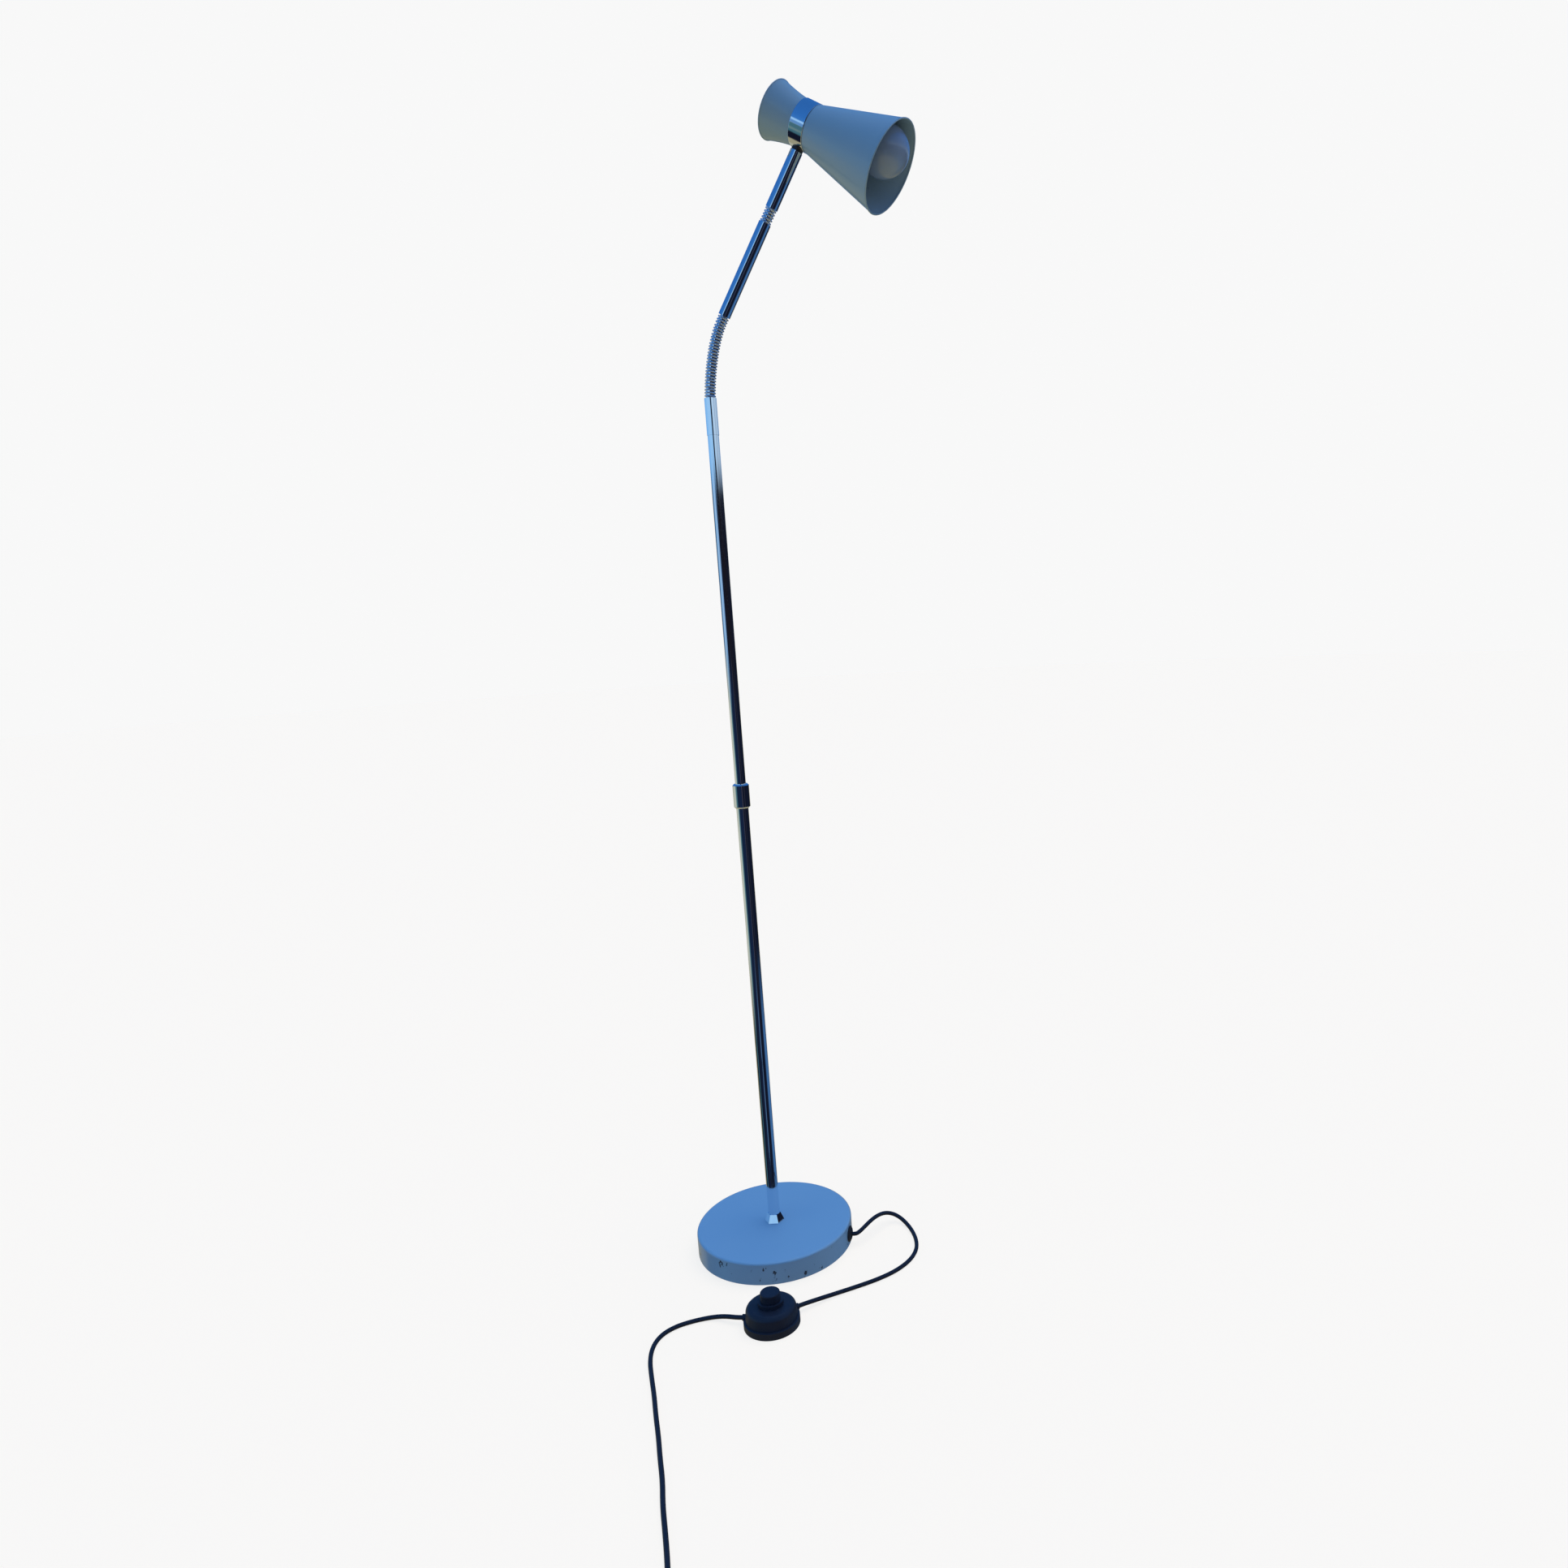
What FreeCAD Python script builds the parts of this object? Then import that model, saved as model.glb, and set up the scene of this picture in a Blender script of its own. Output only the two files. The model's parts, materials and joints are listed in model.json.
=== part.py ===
import FreeCAD, Part
import math
import os

from FreeCAD import Placement, Rotation, Vector

# Adjustable floor lamp with a round weighted base, a telescopic mast, a ribbed gooseneck and a
# waisted metal shade. Millimetres, +Z up, floor at Z 0, mast axis at X 0 and Y 0.

# General clearances
SEAT_GAP = 0.05  # between a cord or screw and its own hole
SLIDE_FIT = 0.10  # radial play of tubes, bushes and shafts that move in each other
MOVING_GAP = 0.30  # between other faces that pass each other
ASSEMBLY_GAP = 0.20  # between loose pieces of one body

# Base
BASE_DIAMETER = 213.6
BASE_HEIGHT = 31.2
BASE_EDGE_RADIUS = 3.0
COVER_WALL = 1.2
COVER_LIFT = 1.0  # rim of the cover above the floor
FELT_THICKNESS = 3.0
FELT_INSET = 2.0
PLATE_THICKNESS = 1.6
BALLAST_WEB = 6.0  # iron left above the centre pocket
BALLAST_POCKET_RADIUS = 45.0
BALLAST_EDGE_CHAMFER = 3.0
CHANNEL_WIDTH = 17.0
PLATE_SCREW_COUNT = 3
PLATE_SCREW_CIRCLE = 75.0
PLATE_SCREW_RADIUS = 2.0
PLATE_SCREW_HEAD_RADIUS = 4.0
PLATE_SCREW_LENGTH = 12.0

# Stem: the threaded tube that clamps the mast to the base
STEM_RADIUS = 5.0
STEM_ROOM = 0.85  # round the cord in the stem
STEM_BELOW_NUT = 1.1
STEM_IN_TUBE = 14.0
CONE_NUT_HEIGHT = 11.8
CONE_NUT_LIP = 1.2
CONE_NUT_CORNER = 13.5
CONE_NUT_TOP_CORNER = 9.0
LOCK_NUT_FLANGE = 1.4
LOCK_NUT_FLANGE_RADIUS = 11.0
LOCK_NUT_HEIGHT = 6.4
LOCK_NUT_CORNER = 9.8

# Cord, the grommet it leaves the base by and the clip that holds it inside
CORD_RADIUS = 2.75
GROMMET_AZIMUTH = -10.0
GROMMET_RADIUS = 10.5
GROMMET_FLANGE = 3.5
GROMMET_EDGE = 1.2  # of straight side on its flange
GROMMET_NECK_RADIUS = 6.0
GROMMET_TAIL_RADIUS = 7.0
GROMMET_TAIL = 2.0
CLIP_DISTANCE = 36.0
CLIP_LENGTH = 9.0
CLIP_WALL = 2.0
LEAD_DROP = 6.0  # between the clip and the cord's bend down to the plate
CLIP_WIDTH = 14.0

# Mast
LOWER_TUBE_RADIUS = 8.0
LOWER_TUBE_WALL = 0.9
LOWER_TUBE_TOP = 640.0
UPPER_TUBE_WALL = 1.0
UPPER_TUBE_INSERTED = 150.0
GUIDE_LENGTH = 24.0
GUIDE_SPIGOT = 10.0
COLLAR_BELOW_TOP = 21.0  # how far the collar reaches down the lower tube
COLLAR_HEIGHT = 32.0
COLLAR_WALL = 1.35
COLLAR_CHAMFER = 1.8
COLLAR_LIP = 3.0
COLLAR_BUSH_WALL = 1.25
COLLAR_BUSH_LENGTH = 17.0
COLLET_HEIGHT = 6.5
COLLET_WALL = 1.8
COLLET_SLIT = 1.2

# Gooseneck: a chain of links with three ribs each, every link a ball in the next one's socket
NECK_START = 1138.5
NECK_LENGTH = 98.0
NECK_LINKS = 9
LINK_RIBS = 3
NECK_EVEN_SHARE = 0.58
NECK_EVEN_POWER = 0.6
NECK_END_POWER = 4
RIB_RADIUS = 1.1
CORE_STEP = 0.3  # of a link's core inside the ribs' middle
LINK_END_GAP = 0.65  # from the pivot to the end of a link's core
SOCKET_SKIN = 0.5  # round the ball
BALL_REACH = 2.6
SOCKET_DEPTH = 3.6
LINK_ROOM = 0.25  # round the cord in the links

# Ferrule and the arm above the neck
FERRULE_LENGTH = 45.5
SLEEVE_STEP = 0.5  # of the sleeves outside the upper tube
SLEEVE_WALL = 1.0
SLEEVE_END_RING = 5.0
FERRULE_RING = 8.0
ARM_TILT = 31.2
ARM_AZIMUTH = -12.2
ARM_LENGTH = 205.0
WRIST_START = 121.5

# Swivel between the arm and the head
KNUCKLE_HEIGHT = 2.9
KNUCKLE_RADIUS = 6.9
STUD_WALL = 1.2
STUD_HEAD_RADIUS = 6.0
STUD_HEAD_THICKNESS = 2.0
STUD_INSIDE = 5.6  # of the stud past the inside of the band
TIP_CAP = 2.0
SWIVEL_NUT_CORNER = 6.35
SWIVEL_NUT_THICKNESS = 3.0
SWIVEL_NOTCH_RADIUS = 8.0

# Head: the band, the two shades and the lampholder; its axis is square to the arm
HEAD_TURN = -4.0  # about the arm, from the vertical plane through it
BAND_RADIUS = 27.4
BAND_WALL = 1.0
BAND_LENGTH = 19.0
BAND_EDGE_RADIUS = 0.4
SHADE_WALL = 0.8
SHADE_COLLAR = 4.0  # of each shade inside the band
FRONT_GROOVE = 0.8
FRONT_STEP = 0.4  # of the front shade inside the band's outside
FRONT_LENGTH = 105.6
FRONT_RIM_RADIUS = 53.2
FRONT_LIP_RADIUS = 1.0
REAR_LENGTH = 37.0
REAR_RIM_RADIUS = 33.5
REAR_WAIST = 0.9  # how far the rear flare curves in from a straight cone
REAR_LIP_RADIUS = 0.9
VENT_DISC_INSET = 4.5
VENT_DISC_THICKNESS = 0.8
VENT_HOLES = 8
VENT_HOLE_RADIUS = 3.5
VENT_HOLE_INSET = 11.5

# Lampholder and bulb, on a plate that sits in the band at a slight angle
HOLDER_TILT = 7.4
HOLDER_PLATE_THICKNESS = 1.2
HOLDER_VENT_RADIUS = 4.0
HOLDER_VENT_INSET = 6.9
HOLDER_VENTS = 4
LEAD_LOOP = 7.0  # half the width of the loop of cord behind the holder
NIPPLE_RADIUS = 5.0
NIPPLE_ROOM = 0.55
NIPPLE_BACK = 9.0
NIPPLE_FRONT = 12.0
BOLT_HEX_CORNER = 8.0
BOLT_HEX_THICKNESS = 4.0
HOLDER_CAP_RADIUS = 16.0
HOLDER_CAP_LENGTH = 25.0
HOLDER_SHELL_RADIUS = 19.5
HOLDER_SHELL_LENGTH = 32.0
HOLDER_WALL = 2.0
HOLDER_FLOOR = 8.0
SOCKET_RADIUS = 13.7
SOCKET_WALL = 0.4
SOCKET_FLOOR = 1.5
SOCKET_SUNK = 6.0  # of the screw socket inside the holder's cap
BULB_CAP_RADIUS = 13.2
BULB_CAP_LENGTH = 25.0
BULB_TIP_RADIUS = 5.0
BULB_TIP_HEIGHT = 3.0
BULB_RADIUS = 30.0
BULB_CENTRE = 100.8
BULB_NECK_RADIUS = 12.6
BULB_NECK_ANGLE = 50.0  # below the equator, where the globe runs into its neck
BULB_NECK_LENGTH = 10.0
BULB_GLASS = 0.7

# Foot switch
SWITCH_RADIUS = 35.0
SWITCH_FLANGE_HEIGHT = 8.5
SWITCH_FLANGE = 2.5
SWITCH_STEP = 0.6  # height in which the flange meets the body
SWITCH_TAPER = 1.0
SWITCH_SHOULDER_RADIUS = 7.0
SWITCH_TOP = 27.5
SWITCH_CROWN = 1.0  # rise of the top between its edge and its middle
SWITCH_WALL = 2.2
SWITCH_COLLAR_WIDTH = 3.7
SWITCH_COLLAR_HEIGHT = 4.5
SWITCH_BASE_THICKNESS = 2.4
BUTTON_RADIUS = 12.3
BUTTON_TOP = 43.0
BUTTON_EDGE_RADIUS = 1.6
BUTTON_FLANGE = 2.2
BUTTON_FLANGE_THICKNESS = 2.2
BUTTON_TRAVEL = 4.0
SWITCH_BLOCK_LENGTH = 26.0
SWITCH_BLOCK_WIDTH = 18.0
SWITCH_SCREW_RADIUS = 1.5
SWITCH_SCREW_HEAD = 2.8
SWITCH_SCREW_HEAD_HEIGHT = 1.0
SWITCH_SCREW_SUNK = 0.4
SWITCH_SCREW_LENGTH = 13.6
SWITCH_POST_RADIUS = 3.6
POST_HOLE_SPARE = 5.0  # of a post's hole past its screw
SWITCH_BOSS = 1.5
SWITCH_BOSS_WALL = 1.2
SWITCH_CORD_HEIGHT = 8.5
SWITCH_IN_AZIMUTH = 32.0
SWITCH_OUT_AZIMUTH = 177.0

# Free cord. X and Y of its switch, route points, coil and plug are from where it leaves the
# grommet; heights are from the floor.
FLOOR_CORD = CORD_RADIUS + SEAT_GAP  # height of the cord's middle where it lies on the floor
SWITCH_AT = (-89.6, -166.8)
TO_SWITCH = [
    (10.9, 3.2, 16.8),
    (17.4, 11.7, 18.6),
    (24.4, 22.7, 20.0),
    (32.4, 34.7, 20.0),
    (40.4, 45.2, 17.8),
    (47.9, 51.2, 15.0),
    (56.9, 53.7, 11.0),
    (65.9, 49.7, 7.2),
    (73.9, 40.2, 4.4),
    (82.4, 23.2, FLOOR_CORD),
    (88.9, -1.8, FLOOR_CORD),
    (89.4, -26.8, FLOOR_CORD),
    (80.4, -51.3, FLOOR_CORD),
    (62.4, -73.3, FLOOR_CORD),
    (37.9, -90.8, FLOOR_CORD),
    (8.4, -105.8, FLOOR_CORD),
    (-17.6, -119.3, 3.6),
    (-35.1, -131.3, 6.0),
]
TO_COIL = [
    (-147.6, -158.3, 6.6),
    (-160.6, -154.3, 4.2),
    (-175.6, -154.8, FLOOR_CORD),
    (-193.1, -160.3, FLOOR_CORD),
    (-210.1, -168.8, FLOOR_CORD),
    (-223.6, -183.3, FLOOR_CORD),
    (-229.1, -203.8, FLOOR_CORD),
    (-226.6, -229.8, FLOOR_CORD),
    (-217.1, -260.3, FLOOR_CORD),
    (-206.6, -291.8, FLOOR_CORD),
    (-197.1, -324.3, FLOOR_CORD),
    (-186.6, -356.8, FLOOR_CORD),
    (-177.6, -388.3, FLOOR_CORD),
    (-167.6, -420.3, FLOOR_CORD),
    (-160.1, -452.3, FLOOR_CORD),
    (-150.6, -483.8, FLOOR_CORD),
    (-141.6, -514.8, FLOOR_CORD),
    (-134.1, -543.8, 3.6),
    (-128.6, -568.8, 4.0),
]
CORD_STUB = 6.0  # straight stretch of cord out of the grommet and the switch
COIL_AT = (-92.6, -587.8)
COIL_TURN_RADIUS = 31.0  # to the middle of the bundle of turns
COIL_TURNS_WIDE = 2
COIL_TURNS_HIGH = 3
COIL_SLACK = 0.5  # in the width of the bundle
COIL_EDGE_RADIUS = 2.5
COIL_ENTRY_RISE = 3.6  # of the cord's middle above the bundle's underside, where it enters
COIL_EXIT_DROP = 3.4  # below the bundle's top, where it leaves
COIL_EXIT_RUN = 2.0
TIE_WIDTH = 8.0
TIE_THICKNESS = 0.8
TIE_AZIMUTH = 60.0
TO_PLUG = [
    (-77.6, -620.8, 12.0),
    (-63.6, -619.8, 8.6),
]
PLUG_AT = (-50.6, -617.8)  # where the cord enters its relief
PLUG_WIDTH = 35.3
PLUG_HEIGHT = 13.7
PLUG_LENGTH = 30.0
PLUG_NOSE_WIDTH = 26.0
PLUG_RELIEF = 20.0
PLUG_RELIEF_WALL = 1.25
PLUG_EDGE_RADIUS = 3.0
PIN_RADIUS = 2.0
PIN_LENGTH = 19.0
PIN_SPACING = 18.6
PIN_ROOT = 6.0

# Places that follow from the sizes above
BASE_RADIUS = BASE_DIAMETER / 2
COVER_INSIDE = BASE_RADIUS - COVER_WALL
BALLAST_TOP = BASE_HEIGHT - COVER_WALL
BALLAST_BOTTOM = FELT_THICKNESS + PLATE_THICKNESS
BALLAST_RADIUS = COVER_INSIDE - ASSEMBLY_GAP
POCKET_TOP = BALLAST_TOP - BALLAST_WEB
STEM_BOTTOM = POCKET_TOP - LOCK_NUT_HEIGHT - STEM_BELOW_NUT
STEM_BORE_RADIUS = CORD_RADIUS + STEM_ROOM
GROMMET_HEIGHT = BASE_HEIGHT / 2
TUBE_BOTTOM = BASE_HEIGHT + CONE_NUT_HEIGHT
LOWER_BORE = LOWER_TUBE_RADIUS - LOWER_TUBE_WALL
UPPER_TUBE_RADIUS = LOWER_BORE - SLIDE_FIT
UPPER_BORE = UPPER_TUBE_RADIUS - UPPER_TUBE_WALL
MAST_BOTTOM = LOWER_TUBE_TOP - UPPER_TUBE_INSERTED
COLLAR_BUSH_RADIUS = LOWER_TUBE_RADIUS + SEAT_GAP + COLLAR_BUSH_WALL
COLLAR_RADIUS = COLLAR_BUSH_RADIUS + SLIDE_FIT + COLLAR_WALL
COLLET_RADIUS = UPPER_TUBE_RADIUS + SLIDE_FIT + COLLET_WALL
COLLAR_BOTTOM = LOWER_TUBE_TOP - COLLAR_BELOW_TOP
RIB_CIRCLE_RADIUS = UPPER_TUBE_RADIUS - RIB_RADIUS
CORE_RADIUS = RIB_CIRCLE_RADIUS - CORE_STEP
BALL_RADIUS = CORE_RADIUS - SOCKET_SKIN - MOVING_GAP
LEAD_BORE_RADIUS = CORD_RADIUS + LINK_ROOM
STUD_RADIUS = CORD_RADIUS + SEAT_GAP + STUD_WALL
SLEEVE_RADIUS = UPPER_TUBE_RADIUS + SLEEVE_STEP
FERRULE_BOTTOM = NECK_START - FERRULE_LENGTH
FERRULE_TOP = NECK_START - LINK_END_GAP
SEAT_TOP = FERRULE_TOP - FERRULE_RING
LINK_PITCH = NECK_LENGTH / NECK_LINKS
RIB_PITCH = LINK_PITCH / LINK_RIBS
SLEEVE_BORE = SLEEVE_RADIUS - SLEEVE_WALL
WRIST_END = WRIST_START + LINK_PITCH
BAND_INSIDE = BAND_RADIUS - BAND_WALL
COLLAR_FIT_RADIUS = BAND_INSIDE - ASSEMBLY_GAP
FRONT_START_RADIUS = BAND_RADIUS - FRONT_STEP
VENT_HOLE_CIRCLE = REAR_RIM_RADIUS - VENT_HOLE_INSET
HOLDER_VENT_CIRCLE = BAND_INSIDE - HOLDER_VENT_INSET
NIPPLE_BORE_RADIUS = CORD_RADIUS + NIPPLE_ROOM
FRONT_START = BAND_LENGTH / 2 + FRONT_GROOVE
SWITCH_BODY_RADIUS = SWITCH_RADIUS - SWITCH_FLANGE
SWITCH_COLLAR_RADIUS = BUTTON_RADIUS + SWITCH_COLLAR_WIDTH
SWITCH_BOSS_REACH = SWITCH_RADIUS + SWITCH_BOSS
SWITCH_BOSS_RADIUS = CORD_RADIUS + SEAT_GAP + SWITCH_BOSS_WALL
SWITCH_SCREW_CIRCLE = (BUTTON_RADIUS + BUTTON_FLANGE + SWITCH_BODY_RADIUS - SWITCH_WALL) / 2
SCREW_HEAD_TOP = SWITCH_SCREW_SUNK + SWITCH_SCREW_HEAD_HEIGHT
COIL_BUNDLE_WIDTH = 2 * CORD_RADIUS * COIL_TURNS_WIDE + COIL_SLACK
COIL_BUNDLE_HEIGHT = 2 * CORD_RADIUS * COIL_TURNS_HIGH
COIL_LIFT = TIE_THICKNESS + MOVING_GAP
UP = Vector(0, 0, 1)


# Shapes used over and over

def disc(radius, low, high, x=0, y=0):
    """Upright cylinder between two heights."""
    return Part.makeCylinder(radius, high - low, Vector(x, y, low))


def ring(outer, inner, low, high, x=0, y=0):
    """Upright tube between two heights."""
    return disc(outer, low, high, x, y).cut(disc(inner, low - 1, high + 1, x, y))


def polygon_wire(corner, sides, height, first_angle=0):
    """Regular polygon, by the distance from its middle to a corner."""
    points = []
    for index in range(sides + 1):
        angle = math.radians(first_angle + 360 * index / sides)
        points.append(Vector(corner * math.cos(angle), corner * math.sin(angle), height))
    return Part.makePolygon(points)


def hexagon(corner, low, high):
    """Upright hexagonal prism."""
    return Part.Face(polygon_wire(corner, 6, low)).extrude(Vector(0, 0, high - low))


def turned(start, *steps):
    """Solid turned about Z. A step is (radius, height), or a middle and an end point of an arc."""
    edges = []
    here = Vector(start[0], 0, start[1])
    first = here
    for step in steps:
        if isinstance(step[0], tuple):
            middle, end = (Vector(r, 0, z) for r, z in step)
            edges.append(Part.Arc(here, middle, end).toShape())
        else:
            end = Vector(step[0], 0, step[1])
            edges.append(Part.LineSegment(here, end).toShape())
        here = end
    edges.append(Part.LineSegment(here, first).toShape())
    return Part.Face(Part.Wire(edges)).revolve(Vector(0, 0, 0), UP, 360)


def polar(distance, azimuth, height=0):
    """Point at a distance and compass angle from the Z axis."""
    angle = math.radians(azimuth)
    return Vector(distance * math.cos(angle), distance * math.sin(angle), height)


def from_exit(x, y, height=0):
    """Point measured from where the cord leaves the grommet, its height from the floor."""
    return polar(BASE_RADIUS + GROMMET_FLANGE, GROMMET_AZIMUTH, height) + Vector(x, y, 0)


def frame(origin, forward, side):
    """Placement with Z along forward and X as near to side as it can be."""
    z_axis = Vector(forward).normalize()
    y_axis = z_axis.cross(side).normalize()
    x_axis = y_axis.cross(z_axis)
    return Placement(origin, Rotation(x_axis, y_axis, z_axis, "ZXY"))


def placed(shape, placement):
    """Copy of a shape moved from its own frame to the lamp's."""
    return shape.transformed(placement.toMatrix(), True)


def outward(shape, distance, azimuth, height):
    """Shape built on Z, laid so that Z points away from the Z axis."""
    return placed(shape, frame(polar(distance, azimuth, height), polar(1, azimuth), UP))


def rounded_edges(shape, radius, chosen):
    """Fillet on the edges that a test picks."""
    return shape.makeFillet(radius, [edge for edge in shape.Edges if chosen(edge)])


def edge_at(radius, height):
    """Test for a full circle of one radius at one height."""
    def test(edge):
        circle = edge.Curve
        if not isinstance(circle, Part.Circle):
            return False
        return abs(circle.Radius - radius) < 0.01 and abs(circle.Center.z - height) < 0.01
    return test


def cord_tube(name, points, radius=CORD_RADIUS):
    """Tube along straight runs joined by tangent arcs."""
    corners = [Vector(point) for point in points]
    edges = []
    radii = []
    here = corners[0]
    for before, corner, after in zip(corners, corners[1:], corners[2:]):
        back = before - corner
        ahead = after - corner
        reach = 0.45 * min(back.Length, ahead.Length)
        half_turn = (math.pi - back.getAngle(ahead)) / 2
        bend = reach / math.tan(half_turn)
        radii.append(bend)
        start = corner + back.normalize() * reach
        end = corner + ahead.normalize() * reach
        inward = (start + end - corner * 2).normalize()
        middle = corner + inward * (math.hypot(reach, bend) - bend)
        edges.append(Part.LineSegment(here, start).toShape())
        edges.append(Part.Arc(start, middle, end).toShape())
        here = end
    edges.append(Part.LineSegment(here, corners[-1]).toShape())
    path = Part.Wire(edges)
    section = Part.Wire(Part.Circle(corners[0], corners[1] - corners[0], radius).toShape())
    tube = path.makePipeShell([section], True, False)
    share = tube.Volume / (path.Length * math.pi * radius ** 2)
    print(name, "length", round(path.Length, 1), "volume share", round(share, 4))
    print("   radii", [round(bend) for bend in radii])
    return tube


def save(name, shape):
    """One STEP file for one node."""
    shape.exportStep("parts/" + name + ".step")
    box = shape.BoundBox
    low = [round(value, 1) for value in (box.XMin, box.YMin, box.ZMin)]
    high = [round(value, 1) for value in (box.XMax, box.YMax, box.ZMax)]
    print(name, "solids", len(shape.Solids), "valid", shape.isValid(), low, high)


# Base

def make_base_cover():
    """Pressed shell with a rounded top edge, open below."""
    outside = disc(BASE_RADIUS, COVER_LIFT, BASE_HEIGHT)
    outside = rounded_edges(outside, BASE_EDGE_RADIUS, edge_at(BASE_RADIUS, BASE_HEIGHT))
    inside = disc(COVER_INSIDE, COVER_LIFT - 1, BALLAST_TOP)
    inner_edge = BASE_EDGE_RADIUS - COVER_WALL
    inside = rounded_edges(inside, inner_edge, edge_at(COVER_INSIDE, BALLAST_TOP))
    stem_hole = disc(STEM_RADIUS + SEAT_GAP, BALLAST_TOP - 1, BASE_HEIGHT + 1)
    cord_hole = disc(GROMMET_NECK_RADIUS + SEAT_GAP, 0, 2 * BASE_EDGE_RADIUS + COVER_WALL)
    cord_hole = outward(cord_hole, COVER_INSIDE - BASE_EDGE_RADIUS, GROMMET_AZIMUTH, GROMMET_HEIGHT)
    return outside.cut(inside).cut(stem_hole).cut(cord_hole)


def plate_screw_points():
    """Middles of the screws of the bottom plate, clear of the cord channel."""
    step = 360 / PLATE_SCREW_COUNT
    first = GROMMET_AZIMUTH + step / 2
    return [polar(PLATE_SCREW_CIRCLE, first + step * index) for index in range(PLATE_SCREW_COUNT)]


def channel(width, top):
    """Straight slot from the middle out past the rim, on the grommet's side."""
    slot = Part.makeBox(BASE_DIAMETER, width, top, Vector(0, -width / 2, 0))
    return placed(slot, Placement(Vector(0, 0, 0), Rotation(UP, GROMMET_AZIMUTH)))


def make_ballast_disc():
    """Iron weight with a centre pocket, a cord channel and screw holes."""
    weight = disc(BALLAST_RADIUS, BALLAST_BOTTOM, BALLAST_TOP)
    rim = edge_at(BALLAST_RADIUS, BALLAST_TOP)
    weight = weight.makeChamfer(BALLAST_EDGE_CHAMFER, [e for e in weight.Edges if rim(e)])
    weight = weight.cut(disc(BALLAST_POCKET_RADIUS, 0, POCKET_TOP))
    weight = weight.cut(channel(CHANNEL_WIDTH, POCKET_TOP))
    weight = weight.cut(disc(STEM_RADIUS + SEAT_GAP, 0, BASE_HEIGHT))
    for point in plate_screw_points():
        top = BALLAST_BOTTOM + PLATE_SCREW_LENGTH + 1
        weight = weight.cut(disc(PLATE_SCREW_RADIUS + SEAT_GAP, 0, top, point.x, point.y))
    return weight


def screw_cone(point, gap):
    """Countersunk head flush with the underside of the bottom plate."""
    outer = PLATE_SCREW_HEAD_RADIUS + gap
    inner = PLATE_SCREW_RADIUS + gap
    return Part.makeCone(outer, inner, PLATE_THICKNESS, Vector(point.x, point.y, FELT_THICKNESS))


def make_bottom_plate():
    """Steel disc that closes the base from below."""
    plate = disc(BALLAST_RADIUS, FELT_THICKNESS, BALLAST_BOTTOM)
    for point in plate_screw_points():
        plate = plate.cut(screw_cone(point, SEAT_GAP))
    return plate


def make_base_screws():
    """Countersunk screws from the plate up into the iron."""
    screws = []
    for point in plate_screw_points():
        top = BALLAST_BOTTOM + PLATE_SCREW_LENGTH
        shank = disc(PLATE_SCREW_RADIUS, BALLAST_BOTTOM, top, point.x, point.y)
        screws.append(screw_cone(point, 0).fuse(shank))
    return Part.makeCompound(screws)


def make_felt_pad():
    """Felt glued under the bottom plate."""
    return disc(COVER_INSIDE - FELT_INSET, 0, FELT_THICKNESS)


def make_cord_grommet():
    """Bushing with a flange outside the cover and a tail inside it."""
    flange = turned(
        (0, 0), (GROMMET_RADIUS, 0), (GROMMET_RADIUS, GROMMET_EDGE),
        ((0.8 * GROMMET_RADIUS, 0.75 * GROMMET_FLANGE), (0.5 * GROMMET_RADIUS, GROMMET_FLANGE)),
        (0, GROMMET_FLANGE),
    )
    wall = COVER_WALL + MOVING_GAP
    neck = disc(GROMMET_NECK_RADIUS, -wall, 0)
    tail = disc(GROMMET_TAIL_RADIUS, -wall - GROMMET_TAIL, -wall)
    solid = flange.fuse([neck, tail])
    solid = solid.cut(disc(CORD_RADIUS + SEAT_GAP, -wall - GROMMET_TAIL - 1, GROMMET_FLANGE + 1))
    return outward(solid, BASE_RADIUS, GROMMET_AZIMUTH, GROMMET_HEIGHT)


def make_cord_clip():
    """Saddle riveted to the iron, with the cord through it."""
    bottom = GROMMET_HEIGHT - CORD_RADIUS - CLIP_WALL
    height = POCKET_TOP - bottom
    corner = Vector(-CLIP_WIDTH / 2, -CLIP_LENGTH / 2, bottom)
    block = Part.makeBox(CLIP_WIDTH, CLIP_LENGTH, height, corner)
    turn = Placement(polar(CLIP_DISTANCE, GROMMET_AZIMUTH), Rotation(UP, GROMMET_AZIMUTH + 90))
    block = placed(block, turn)
    bore = disc(CORD_RADIUS + SEAT_GAP, -CLIP_LENGTH, CLIP_LENGTH)
    return block.cut(outward(bore, CLIP_DISTANCE, GROMMET_AZIMUTH, GROMMET_HEIGHT))


def make_lead_in_base():
    """Cord from the grommet's face under the clip and up through the stem."""
    start = polar(BASE_RADIUS + GROMMET_FLANGE, GROMMET_AZIMUTH, GROMMET_HEIGHT)
    low = BALLAST_BOTTOM + CORD_RADIUS + ASSEMBLY_GAP
    points = [
        start,
        polar(CLIP_DISTANCE - CLIP_LENGTH / 2 - LEAD_DROP, GROMMET_AZIMUTH, GROMMET_HEIGHT),
        polar(3 * LEAD_DROP, GROMMET_AZIMUTH, low + 1),
        Vector(0, 0, low),
        Vector(0, 0, TUBE_BOTTOM + 2 * STEM_IN_TUBE),
    ]
    return cord_tube("lead_in_base", points)


# Stem

def make_stem_tube():
    """Threaded tube through the nut, the cover and the iron."""
    return ring(STEM_RADIUS, STEM_BORE_RADIUS, STEM_BOTTOM, TUBE_BOTTOM + STEM_IN_TUBE)


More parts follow.
